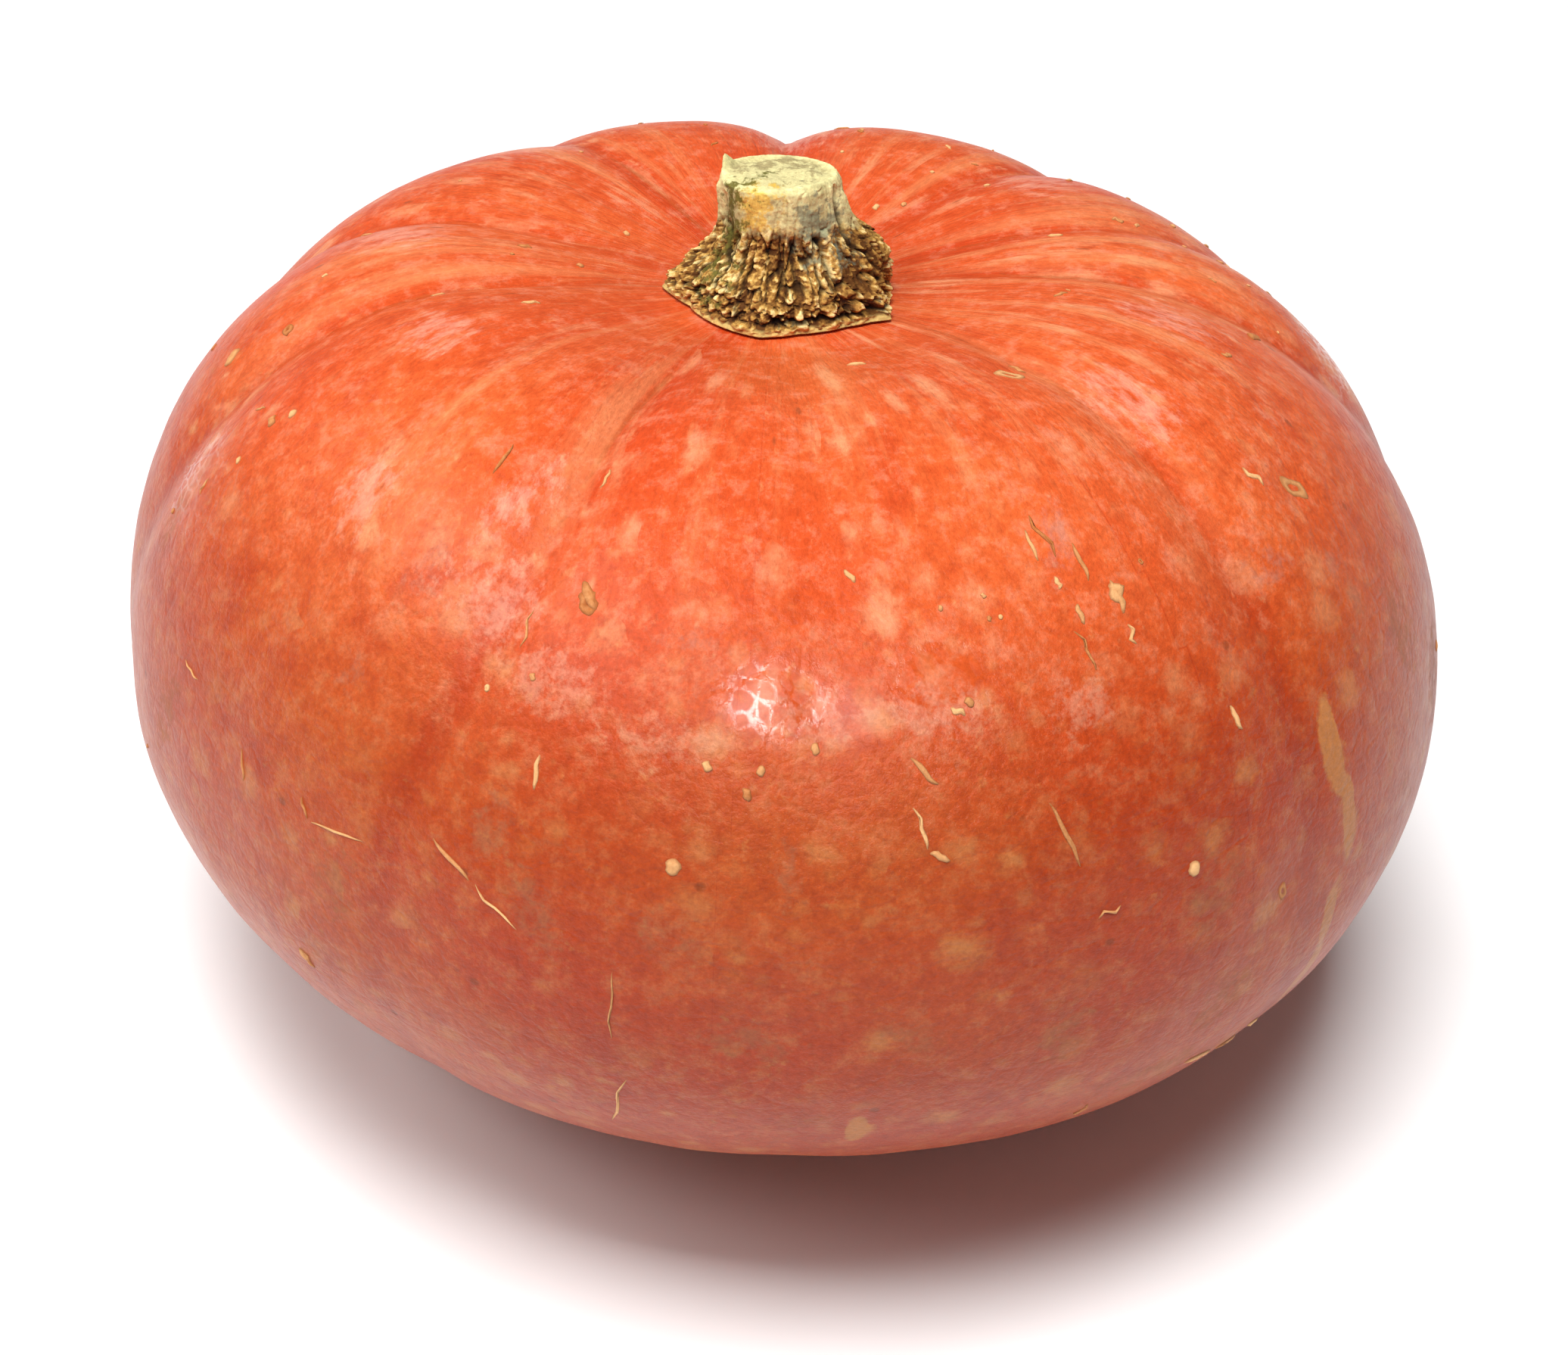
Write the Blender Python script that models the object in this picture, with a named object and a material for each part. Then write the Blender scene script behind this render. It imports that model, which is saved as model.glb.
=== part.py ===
"""Winter squash: one fruit with its cut corky stalk, in metres, +Z up.

The fruit is a flattened globe turned from a formula, drawn in along its furrows. It leans
back a little, rests on a small flat spot at Z = 0 and has the middle of its box over the
origin. The stalk stands on a level seat in the hollow on top. Azimuths are in degrees, 0 at
the front (-Y) and 90 at the right (+X).
"""

import math

import bmesh
import bpy
from mathutils import Matrix, Vector

# Fruit, in its own frame: the origin is in the middle of the widest ring, Z runs up the stalk.
FRUIT_RADIUS = 0.105
CROWN_RISE = 0.0728          # widest ring to crown, before the hollow is taken out
BASE_DROP = 0.0615           # widest ring to blossom end
CROWN_POWERS = (0.768, 0.939)    # powers of cosine and sine above the ring, 1 is an ellipse
BASE_POWERS = (0.877, 1.040)     # the same below the ring
HOLLOW_DEPTH = 0.0159
HOLLOW_RADIUS = 0.0461
HOLLOW_POWER = 2.37
SEAT_RADIUS = 0.021          # level floor of the hollow, under the stalk
WIDE_SWELL = 0.0285          # how much the outline is an oval, as a share of the radius
WIDE_AZIMUTH = 31.0          # where the oval is widest
SIDE_SWELL = 0.0132          # how much the outline is fuller on one side
SIDE_AZIMUTH = 97.0

# Furrows: azimuth on the shoulder, share of the full depth, turn towards the stalk and
# turn towards the base.
FURROWS = (
    (-147, 0.5, -6, 4), (-108, 0.9, -8, 3), (-76, 0.9, -16, -2), (-49, 0.4, -8, 0),
    (-22, 1.0, -3, -9), (5, 0.35, 0, -3), (43, 0.9, 18, 0), (85, 0.8, 20, 3),
    (108, 0.6, 12, 4), (137, 0.7, 6, 0), (178, 1.2, 0, -2),
)
FURROW_DEPTH = 0.0032
FURROW_CREASE = 3.5          # degrees to either side of the sharp line of a furrow
CREASE_SHARE = 0.4           # share of the depth in the sharp line
FURROW_VALLEY = 9.0          # degrees to either side of its soft slopes
RIB_SWELL = 0.42             # share of the depth by which the ribs between furrows stand out
FURROW_LATITUDE = 50.0       # degrees above the ring where a furrow is deepest
FURROW_REACH = 34.0          # degrees over which it fades
FURROW_LEAST = 0.18          # share of the depth that is left at the ring and the base
FURROW_RUNOUT = 0.022        # distance over which it starts outside the seat
FURROW_BEND = 0.020          # distance from the seat over which it turns to its course
BASE_TURN_START = 60.0       # latitude where it starts to turn towards the base

# How it stands.
LEAN_BACK = 3.0
LEAN_RIGHT = 1.5
FLAT_SPOT_DEPTH = 0.0008     # what the flat spot takes off the lowest point

# Stalk, standing on the seat.
STALK_GAP = 0.0003
STALK_HEIGHT = 0.0195
STALK_TOP_RADIUS = 0.0088
STALK_BASE_RADIUS = 0.0152
STALK_RIM = 0.0012           # height of the thin rim of the corky base
STALK_SKIRT = 0.0102         # height at which the corky base has drawn in to the neck
STALK_CORNERS = ((-90, 0.0018), (-8, 0.0028), (58, 0.0044), (112, 0.0026), (-160, 0.0006))
STALK_CORNER_WIDTH = 20.0    # degrees to either side of a corner of the corky base
STALK_LEAN_RIGHT = 0.0022    # how far the neck stands to the right at half height
STALK_RIDGES = 11
STALK_RIDGE_HEIGHT = 0.0004
CUT_SLOPE = 5.0              # the cut falls away to the back
CUT_DISH = 0.0008            # depth of the dished middle of the cut
CUT_EDGE = 0.0008            # width of the broken edge round the cut

# Mesh fineness.
FRUIT_ROWS = 40
FRUIT_STEPS = 90
STALK_STEPS = 44
STALK_ROWS = 10
STALK_ROW = 0.0018
PROFILE_SAMPLES = 1440
SHARP_ANGLE = 50.0           # edges that turn more than this are shaded sharp


def clear_scene():
    """Remove the objects of the opened scene."""
    for item in list(bpy.data.objects):
        bpy.data.objects.remove(item, do_unlink=True)


def rind_material():
    """Waxy orange rind."""
    material = bpy.data.materials.new("rind")
    material.use_nodes = True
    shader = material.node_tree.nodes["Principled BSDF"]
    shader.inputs["Base Color"].default_value = (0.70, 0.13, 0.03, 1.0)
    shader.inputs["Roughness"].default_value = 0.40
    shader.inputs["Metallic"].default_value = 0.0
    return material


def cork_material():
    """Dry corky stalk."""
    material = bpy.data.materials.new("cork")
    material.use_nodes = True
    shader = material.node_tree.nodes["Principled BSDF"]
    shader.inputs["Base Color"].default_value = (0.40, 0.30, 0.15, 1.0)
    shader.inputs["Roughness"].default_value = 0.85
    shader.inputs["Metallic"].default_value = 0.0
    return material


def smoothstep(value):
    """Ease from 0 to 1 while the value goes from 0 to 1."""
    share = min(1.0, max(0.0, value))
    return share * share * (3.0 - 2.0 * share)


def turn_between(azimuth, other):
    """Smallest angle in degrees from one azimuth to another."""
    return (azimuth - other + 180.0) % 360.0 - 180.0


def profile_point(latitude):
    """Radius and height of the turned rind at a latitude from -90 to 90 degrees."""
    angle = math.radians(latitude)
    outward = max(0.0, math.cos(angle))
    upward = abs(math.sin(angle))
    if latitude < 0.0:
        radius = FRUIT_RADIUS * outward ** BASE_POWERS[0]
        return radius, -BASE_DROP * upward ** BASE_POWERS[1]
    radius = FRUIT_RADIUS * outward ** CROWN_POWERS[0]
    level = max(radius, SEAT_RADIUS)
    level_cosine = (level / FRUIT_RADIUS) ** (1.0 / CROWN_POWERS[0])
    level_sine = math.sqrt(max(0.0, 1.0 - level_cosine * level_cosine))
    hollow = HOLLOW_DEPTH * math.exp(-((level / HOLLOW_RADIUS) ** HOLLOW_POWER))
    return radius, CROWN_RISE * level_sine ** CROWN_POWERS[1] - hollow


def profile_normal(latitude):
    """Unit outward direction of the profile, as shares of radius and height."""
    step = 0.5
    radius_below, height_below = profile_point(max(-89.9, latitude - step))
    radius_above, height_above = profile_point(min(89.9, latitude + step))
    along = Vector((radius_above - radius_below, height_above - height_below))
    along.normalize()
    return along.y, -along.x


def latitude_of(radius, height):
    """Latitude of a point of the turned rind."""
    power = CROWN_POWERS[0] if height > 0.0 else BASE_POWERS[0]
    cosine = min(1.0, radius / FRUIT_RADIUS) ** (1.0 / power)
    return math.copysign(math.degrees(math.acos(cosine)), height)


def row_latitudes():
    """Latitudes of rows spaced evenly along the rind, with one at the edge of the seat."""
    samples = [-90.0 + 180.0 * index / PROFILE_SAMPLES for index in range(PROFILE_SAMPLES + 1)]
    points = [Vector(profile_point(latitude)) for latitude in samples]
    reached = [0.0]
    for before, after in zip(points, points[1:]):
        reached.append(reached[-1] + (after - before).length)
    spacing = reached[-1] / FRUIT_ROWS
    rows = [-90.0]
    for latitude, length in zip(samples, reached):
        if length >= spacing * len(rows):
            rows.append(latitude)
    rows[-1] = 90.0
    seat = latitude_of(SEAT_RADIUS, CROWN_RISE)
    nearest = min(range(len(rows)), key=lambda index: abs(rows[index] - seat))
    rows[nearest] = seat
    return rows


def furrow_depth(azimuth, latitude, radius):
    """How far the rind is drawn in at a place, in metres."""
    near_stalk = math.exp(-max(0.0, radius - SEAT_RADIUS) / FURROW_BEND) if latitude > 0.0 else 0.0
    near_base = smoothstep((BASE_TURN_START - latitude) / BASE_TURN_START)
    drawn = -RIB_SWELL
    for centre, share, stalk_turn, base_turn in FURROWS:
        course = centre + stalk_turn * near_stalk + base_turn * near_base
        turn = turn_between(azimuth, course)
        crease = math.exp(-((turn / FURROW_CREASE) ** 2))
        valley = math.exp(-((turn / FURROW_VALLEY) ** 2))
        drawn += share * (CREASE_SHARE * crease + (1.0 - CREASE_SHARE) * valley)
    peak = math.exp(-(((latitude - FURROW_LATITUDE) / FURROW_REACH) ** 2))
    fade = FURROW_LEAST + (1.0 - FURROW_LEAST) * peak
    start = smoothstep((radius - SEAT_RADIUS) / FURROW_RUNOUT)
    return FURROW_DEPTH * drawn * fade * start


def outline_swell(azimuth):
    """Share by which the outline is wider or narrower than the turned ring."""
    oval = WIDE_SWELL * math.cos(2.0 * math.radians(azimuth - WIDE_AZIMUTH))
    side = SIDE_SWELL * math.cos(math.radians(azimuth - SIDE_AZIMUTH))
    return 1.0 + oval + side


def azimuth_of(point):
    """Azimuth in degrees of a point round the Z axis."""
    return math.degrees(math.atan2(point.x, -point.y))


def heading(azimuth):
    """Level unit vector in the direction of an azimuth."""
    return Vector((math.sin(math.radians(azimuth)), -math.cos(math.radians(azimuth)), 0.0))


def turned_mesh(profile, steps):
    """Spin a profile of (radius, height) points, given from bottom to top, round Z."""
    shape = bmesh.new()
    points = [shape.verts.new((0.0, -radius, height)) for radius, height in profile]
    edges = [shape.edges.new(pair) for pair in zip(points, points[1:])]
    bmesh.ops.spin(
        shape, geom=points + edges, cent=(0.0, 0.0, 0.0), axis=(0.0, 0.0, 1.0),
        angle=math.tau, steps=steps, use_merge=True, use_duplicate=False,
    )
    bmesh.ops.remove_doubles(shape, verts=shape.verts[:], dist=1e-6)
    bmesh.ops.recalc_face_normals(shape, faces=shape.faces[:])
    shape.normal_update()
    return shape


def make_object(name, shape, material, frame):
    """Turn a bmesh into a named, smooth shaded object that stands in the frame."""
    mesh = bpy.data.meshes.new(name)
    shape.to_mesh(mesh)
    shape.free()
    mesh.materials.append(material)
    mesh.shade_smooth()
    mesh.set_sharp_from_angle(angle=math.radians(SHARP_ANGLE))
    item = bpy.data.objects.new(name, mesh)
    bpy.context.scene.collection.objects.link(item)
    item.parent = frame
    return item


def lean_rotation():
    """Rotation from the fruit's own frame to how it stands."""
    right = Matrix.Rotation(math.radians(LEAN_RIGHT), 3, "Y")
    back = Matrix.Rotation(math.radians(-LEAN_BACK), 3, "X")
    return right @ back


def furrowed_globe():
    """The whole rind in its own frame, before its flat spot is made."""
    shape = turned_mesh([profile_point(latitude) for latitude in row_latitudes()], FRUIT_STEPS)
    for vertex in shape.verts:
        radius = vertex.co.to_2d().length
        latitude = latitude_of(radius, vertex.co.z)
        azimuth = azimuth_of(vertex.co)
        outward, upward = profile_normal(latitude)
        depth = furrow_depth(azimuth, latitude, radius)
        swollen = radius * outline_swell(azimuth) - depth * outward
        vertex.co = heading(azimuth) * swollen + Vector((0.0, 0.0, vertex.co.z - depth * upward))
    return shape


def cut_flat_spot(shape, rotation):
    """Cut the lowest part level and return the level's height in the turned frame."""
    lowest = min((rotation @ vertex.co).z for vertex in shape.verts)
    level = lowest + FLAT_SPOT_DEPTH
    upright = rotation.inverted() @ Vector((0.0, 0.0, 1.0))
    cut = bmesh.ops.bisect_plane(
        shape, geom=shape.verts[:] + shape.edges[:] + shape.faces[:], dist=1e-6,
        plane_co=upright * level, plane_no=upright, clear_inner=True,
    )
    rim = [piece for piece in cut["geom_cut"] if isinstance(piece, bmesh.types.BMEdge)]
    bmesh.ops.contextual_create(shape, geom=rim)
    bmesh.ops.recalc_face_normals(shape, faces=shape.faces[:])
    return level


def stalk_radius(height):
    """Radius of the round stalk at a height above its underside."""
    drawn_in = smoothstep((height - STALK_RIM) / (STALK_SKIRT - STALK_RIM))
    return STALK_BASE_RADIUS + (STALK_TOP_RADIUS - STALK_BASE_RADIUS) * drawn_in


def stalk_profile():
    """Radius and height of the stalk from the middle of its underside to that of its cut."""
    heights = [0.0, STALK_RIM]
    heights += [STALK_RIM + STALK_ROW * row for row in range(1, STALK_ROWS)]
    side = [(stalk_radius(height), height) for height in heights]
    edge = [(STALK_TOP_RADIUS, STALK_HEIGHT - CUT_EDGE), (STALK_TOP_RADIUS - CUT_EDGE, STALK_HEIGHT)]
    dish = [(STALK_TOP_RADIUS * 0.5, STALK_HEIGHT - CUT_DISH), (0.0, STALK_HEIGHT - CUT_DISH)]
    return [(0.0, 0.0)] + side + edge + dish


def stalk_place(azimuth, radius, height):
    """Where a point of the turned stalk goes: corners, ridges, a leaning neck, a sloping cut."""
    low = 1.0 - smoothstep(height / STALK_SKIRT)
    neck = smoothstep((height - STALK_RIM) / (STALK_SKIRT - STALK_RIM))
    for centre, size in STALK_CORNERS:
        turn = turn_between(azimuth, centre) / STALK_CORNER_WIDTH
        radius += size * low * radius / STALK_BASE_RADIUS * math.exp(-turn * turn)
    if height < STALK_HEIGHT - CUT_EDGE:
        radius += STALK_RIDGE_HEIGHT * neck * math.cos(math.radians(azimuth * STALK_RIDGES))
    place = heading(azimuth) * radius
    place.x += STALK_LEAN_RIGHT * math.sin(math.pi * height / STALK_HEIGHT)
    slope = -place.y * math.tan(math.radians(CUT_SLOPE)) * smoothstep(height / STALK_HEIGHT)
    return place + Vector((0.0, 0.0, height + slope))


def stalk_shape():
    """The whole stalk, standing clear of the seat by the gap."""
    shape = turned_mesh(stalk_profile(), STALK_STEPS)
    seat = Vector((0.0, 0.0, profile_point(90.0)[1] + STALK_GAP))
    for vertex in shape.verts:
        radius = vertex.co.to_2d().length
        vertex.co = seat + stalk_place(azimuth_of(vertex.co), radius, vertex.co.z)
    return shape


def box_middle(item):
    """Middle of an object's box over the ground, in the world."""
    corners = [item.matrix_world @ vertex.co for vertex in item.data.vertices]
    middle_x = (min(corner.x for corner in corners) + max(corner.x for corner in corners)) / 2.0
    middle_y = (min(corner.y for corner in corners) + max(corner.y for corner in corners)) / 2.0
    return middle_x, middle_y


def build():
    """Make the fruit and the stalk in one leaning frame and stand it on the ground."""
    clear_scene()
    rotation = lean_rotation()
    frame = bpy.data.objects.new("squash_frame", None)
    bpy.context.scene.collection.objects.link(frame)
    frame.rotation_euler = rotation.to_euler()
    globe = furrowed_globe()
    level = cut_flat_spot(globe, rotation)
    fruit = make_object("fruit", globe, rind_material(), frame)
    make_object("stem", stalk_shape(), cork_material(), frame)
    bpy.context.view_layer.update()
    middle_x, middle_y = box_middle(fruit)
    frame.location = (-middle_x, -middle_y, -level)


build()
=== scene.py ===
"""Orange winter squash: the finished rind, the corky stalk and the marks on the skin.

The rind is a fine turned mesh drawn in along its furrows, the stalk a fine turned mesh
broken up into corky columns and crumbs, and each mark on the skin is a small raised flake.
All sizes are in metres. Azimuths are in degrees, 0 at the front (-Y) and 90 at the right (+X).
Travel is the distance over the rind from the stalk's axis.
"""

import math
import random

import bmesh
import bpy
import numpy as np
from mathutils import Matrix, Vector, noise


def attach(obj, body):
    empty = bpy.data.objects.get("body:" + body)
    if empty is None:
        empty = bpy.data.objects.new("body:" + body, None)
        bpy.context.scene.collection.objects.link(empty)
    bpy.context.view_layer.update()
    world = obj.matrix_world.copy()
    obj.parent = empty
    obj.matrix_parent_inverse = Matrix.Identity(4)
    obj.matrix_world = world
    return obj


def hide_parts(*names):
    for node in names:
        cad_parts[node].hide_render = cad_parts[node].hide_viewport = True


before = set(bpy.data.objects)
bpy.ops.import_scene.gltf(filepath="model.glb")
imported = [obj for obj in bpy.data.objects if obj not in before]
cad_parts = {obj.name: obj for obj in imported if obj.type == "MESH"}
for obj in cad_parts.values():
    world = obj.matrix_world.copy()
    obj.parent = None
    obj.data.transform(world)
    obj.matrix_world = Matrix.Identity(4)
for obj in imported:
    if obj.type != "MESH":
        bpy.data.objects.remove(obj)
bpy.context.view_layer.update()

MM = 0.001

# Fruit, in its own frame: the origin is in the middle of the widest ring, Z runs up the stalk.
FRUIT_RADIUS = 0.105
CROWN_RISE = 0.0728
BASE_DROP = 0.0615
CROWN_POWERS = (0.768, 0.939)
BASE_POWERS = (0.877, 1.040)
HOLLOW_DEPTH = 0.0159
HOLLOW_RADIUS = 0.0461
HOLLOW_POWER = 2.37
SEAT_RADIUS = 0.021
WIDE_SWELL = 0.0285
WIDE_AZIMUTH = 31.0
SIDE_SWELL = 0.0132
SIDE_AZIMUTH = 97.0
LEAN_BACK = 3.0
LEAN_RIGHT = 1.5
FLAT_SPOT_DEPTH = 0.0008

# Furrows: azimuth on the shoulder, share of the full depth, turn towards the stalk and
# turn towards the base.
FURROWS = (
    (-147, 0.5, -6, 4), (-108, 0.9, -8, 3), (-76, 0.9, -16, -2), (-49, 0.4, -8, 0),
    (-22, 1.0, -3, -9), (5, 0.35, 0, -3), (43, 0.9, 18, 0), (85, 0.8, 20, 3),
    (108, 0.6, 12, 4), (137, 0.7, 6, 0), (178, 1.2, 0, -2),
)
FURROW_DEPTH = 0.0032
FURROW_CREASE = 3.5
CREASE_SHARE = 0.4
FURROW_VALLEY = 9.0
RIB_SWELL = 0.42
FURROW_LATITUDE = 50.0
FURROW_REACH = 34.0
FURROW_LEAST = 0.18
FURROW_RUNOUT = 0.022
FURROW_BEND = 0.020
BASE_TURN_START = 60.0

# Fineness of the rind: just under 200,000 triangles.
RIND_ROWS = 232
RIND_STEPS = 420


# ---------------------------------------------------------------- shape of the rind

def ease(value):
    """Smooth step from 0 to 1 while the value goes from 0 to 1."""
    share = np.clip(value, 0.0, 1.0)
    return share * share * (3.0 - 2.0 * share)


def turn_between(azimuth, other):
    """Smallest angle in degrees from one azimuth to another."""
    return (azimuth - other + 180.0) % 360.0 - 180.0


def profile(latitude):
    """Radius and height of the turned rind at latitudes from -90 to 90 degrees."""
    angle = np.radians(latitude)
    outward = np.clip(np.cos(angle), 0.0, 1.0)
    upward = np.abs(np.sin(angle))
    crown_radius = FRUIT_RADIUS * outward ** CROWN_POWERS[0]
    level = np.maximum(crown_radius, SEAT_RADIUS)
    level_cosine = (level / FRUIT_RADIUS) ** (1.0 / CROWN_POWERS[0])
    level_sine = np.sqrt(np.clip(1.0 - level_cosine ** 2, 0.0, 1.0))
    hollow = HOLLOW_DEPTH * np.exp(-((level / HOLLOW_RADIUS) ** HOLLOW_POWER))
    crown_height = CROWN_RISE * level_sine ** CROWN_POWERS[1] - hollow
    base_radius = FRUIT_RADIUS * outward ** BASE_POWERS[0]
    base_height = -BASE_DROP * upward ** BASE_POWERS[1]
    crown = latitude >= 0.0
    return np.where(crown, crown_radius, base_radius), np.where(crown, crown_height, base_height)


LATITUDES = np.linspace(90.0, -90.0, 7201)
RADII, HEIGHTS = profile(LATITUDES)
TRAVELS = np.concatenate([[0.0], np.cumsum(np.hypot(np.diff(RADII), np.diff(HEIGHTS)))])
FULL_TRAVEL = float(TRAVELS[-1])
RISE = np.gradient(HEIGHTS, TRAVELS)
RUN = np.gradient(RADII, TRAVELS)


def furrow_course(furrow, latitude, radius):
    """Azimuth that a furrow has reached at these places."""
    centre, _, stalk_turn, base_turn = furrow
    near_stalk = np.exp(-np.maximum(0.0, radius - SEAT_RADIUS) / FURROW_BEND) * (latitude > 0.0)
    near_base = ease((BASE_TURN_START - latitude) / BASE_TURN_START)
    return centre + stalk_turn * near_stalk + base_turn * near_base


def furrow_depth(azimuth, latitude, radius):
    """How far the rind is drawn in at these places."""
    drawn = np.full_like(radius, -RIB_SWELL)
    for furrow in FURROWS:
        turn = turn_between(azimuth, furrow_course(furrow, latitude, radius))
        crease = np.exp(-((turn / FURROW_CREASE) ** 2))
        valley = np.exp(-((turn / FURROW_VALLEY) ** 2))
        drawn += furrow[1] * (CREASE_SHARE * crease + (1.0 - CREASE_SHARE) * valley)
    peak = np.exp(-(((latitude - FURROW_LATITUDE) / FURROW_REACH) ** 2))
    fade = FURROW_LEAST + (1.0 - FURROW_LEAST) * peak
    start = ease((radius - SEAT_RADIUS) / FURROW_RUNOUT)
    return FURROW_DEPTH * drawn * fade * start


def outline_swell(azimuth):
    """Share by which the outline is wider or narrower than the turned ring."""
    oval = WIDE_SWELL * np.cos(2.0 * np.radians(azimuth - WIDE_AZIMUTH))
    side = SIDE_SWELL * np.cos(np.radians(azimuth - SIDE_AZIMUTH))
    return 1.0 + oval + side


def grain(points, size, octaves=1, shift=0.0):
    """Smooth noise of about -1 to 1 at the points, with features of the given size."""
    offset = Vector((shift, shift * 1.7, shift * 0.3))
    return np.array([noise.fractal(Vector(point) / size + offset, 1.0, 2.0, octaves) for point in points])


# Shallow dents: azimuth, travel, radius and depth in millimetres.
DENTS = (
    (-37, 107, 5, 0.5), (-8, 91, 6, 0.4), (35, 148, 9, 0.6), (21, 146, 8, 0.4), (-1, 142, 7, 0.4),
    (42, 47, 3.5, 0.7), (58, 86, 4, 0.7), (-17, 87, 3.5, 0.5), (40, 134, 4, 0.5), (-96, 120, 9, 0.6),
    (150, 110, 8, 0.5), (-150, 135, 10, 0.6), (100, 150, 8, 0.5), (-20, 119, 3, 0.3), (1, 116, 3, 0.3),
)
LUMPS = ((0.050, 0.9 * MM), (0.016, 0.26 * MM), (0.006, 0.07 * MM))
GROOVE_WIDTH = 1.0
GROOVE_DEPTH = 0.40 * MM
DEEP_FURROWS = [furrow for furrow in FURROWS if furrow[1] >= 0.5]
TIP_RADIUS = 6.0 * MM
TIP_DEPTH = 1.6 * MM
STALK_TWIST = 18.0


def growth_course(azimuth, travel):
    """Azimuth at which the skin's pattern here would sit if it didn't turn round the stalk."""
    near = np.exp(-np.maximum(0.0, travel - SEAT_RADIUS) / FURROW_BEND)
    return azimuth - STALK_TWIST * np.sin(np.radians(azimuth)) * near


def crease_offset(azimuth, travel):
    """Distance in millimetres from the nearest deep furrow, its sign changing at each, and its share."""
    latitude = np.interp(travel, TRAVELS, LATITUDES)
    radius = np.interp(travel, TRAVELS, RADII)
    nearest = np.full_like(azimuth, 1e9)
    share = np.zeros_like(azimuth)
    sign = np.ones_like(azimuth)
    for furrow in DEEP_FURROWS:
        turn = turn_between(azimuth, furrow_course(furrow, latitude, radius))
        closer = np.abs(turn) < np.abs(nearest)
        nearest = np.where(closer, turn, nearest)
        share = np.where(closer, furrow[1], share)
        sign = np.where(turn > 0.0, -sign, sign)
    return np.abs(nearest) * sign * np.radians(1.0) * radius / MM, share


def rind(azimuth, travel):
    """Points of the finished rind in the fruit's own frame."""
    latitude = np.interp(travel, TRAVELS, LATITUDES)
    radius = np.interp(travel, TRAVELS, RADII)
    height = np.interp(travel, TRAVELS, HEIGHTS)
    upward = np.interp(travel, TRAVELS, RUN)
    outward = -np.interp(travel, TRAVELS, RISE)
    heading_x = np.sin(np.radians(azimuth))
    heading_y = -np.cos(np.radians(azimuth))
    smooth = np.stack([heading_x * radius, heading_y * radius, height], axis=-1)
    lift = -furrow_depth(azimuth, latitude, radius)
    away = ease((travel - SEAT_RADIUS) / 0.03)
    for shift, (size, amount) in enumerate(LUMPS):
        lift += amount * away * grain(smooth, size, shift=11.0 + shift)
    offset, share = crease_offset(azimuth, travel)
    groove = share * np.exp(-((offset / GROOVE_WIDTH) ** 2))
    lift -= GROOVE_DEPTH * groove * away * ease((0.125 - travel) / 0.06)
    for centre, place, reach, depth in DENTS:
        across = np.radians(turn_between(azimuth, centre)) * radius
        along = travel - place * MM
        lift -= depth * MM * np.exp(-(across ** 2 + along ** 2) / (reach * MM) ** 2)
    lift -= TIP_DEPTH * np.exp(-(((FULL_TRAVEL - travel) / TIP_RADIUS) ** 4))
    reach = radius * outline_swell(azimuth) + lift * outward
    return np.stack([heading_x * reach, heading_y * reach, height + lift * upward], axis=-1)


def rind_facing(azimuth, travel):
    """Points of the rind and its outward directions there."""
    step = 0.4 * MM
    radius = np.maximum(np.interp(travel, TRAVELS, RADII), MM)
    turn = np.degrees(step / radius)
    point = rind(azimuth, travel)
    around = rind(azimuth + turn, travel) - rind(azimuth - turn, travel)
    down = rind(azimuth, travel + step) - rind(azimuth, travel - step)
    facing = np.cross(down, around)
    facing /= np.linalg.norm(facing, axis=-1, keepdims=True)
    return point, facing


# ---------------------------------------------------------------- meshes

def turned_mesh(points, steps):
    """Spin a profile of (radius, height) points, given from bottom to top, round Z."""
    shape = bmesh.new()
    verts = [shape.verts.new((0.0, -radius, height)) for radius, height in points]
    edges = [shape.edges.new(pair) for pair in zip(verts, verts[1:])]
    bmesh.ops.spin(
        shape, geom=verts + edges, cent=(0.0, 0.0, 0.0), axis=(0.0, 0.0, 1.0),
        angle=math.tau, steps=steps, use_merge=True, use_duplicate=False,
    )
    bmesh.ops.remove_doubles(shape, verts=shape.verts[:], dist=1e-7)
    bmesh.ops.recalc_face_normals(shape, faces=shape.faces[:])
    return shape


def finish_piece(name, shape, material):
    """Turn a bmesh into a smooth shaded piece that rides on the part."""
    mesh = bpy.data.meshes.new(name)
    shape.to_mesh(mesh)
    shape.free()
    mesh.shade_smooth()
    mesh.materials.append(material)
    piece = bpy.data.objects.new(name, mesh)
    bpy.context.scene.collection.objects.link(piece)
    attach(piece, "root")
    return piece


def read_points(mesh):
    """Vertex positions of a mesh as an array."""
    flat = np.empty(len(mesh.vertices) * 3, dtype=np.float32)
    mesh.vertices.foreach_get("co", flat)
    return flat.reshape(-1, 3).astype(float)


def write_points(mesh, points):
    """Move the vertices of a mesh to these positions."""
    mesh.vertices.foreach_set("co", points.astype(np.float32).ravel())
    mesh.update()


def store(mesh, name, values):
    """Keep a number or a vector for each vertex under a name that the materials read."""
    vector = values.ndim == 2
    attribute = mesh.attributes.new(name, "FLOAT_VECTOR" if vector else "FLOAT", "POINT")
    attribute.data.foreach_set("vector" if vector else "value", values.astype(np.float32).ravel())


def lean_matrix():
    """Rotation from the fruit's own frame to how it stands."""
    right = Matrix.Rotation(math.radians(LEAN_RIGHT), 3, "Y")
    back = Matrix.Rotation(math.radians(-LEAN_BACK), 3, "X")
    return np.array(right @ back)


LEAN = lean_matrix()


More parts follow.
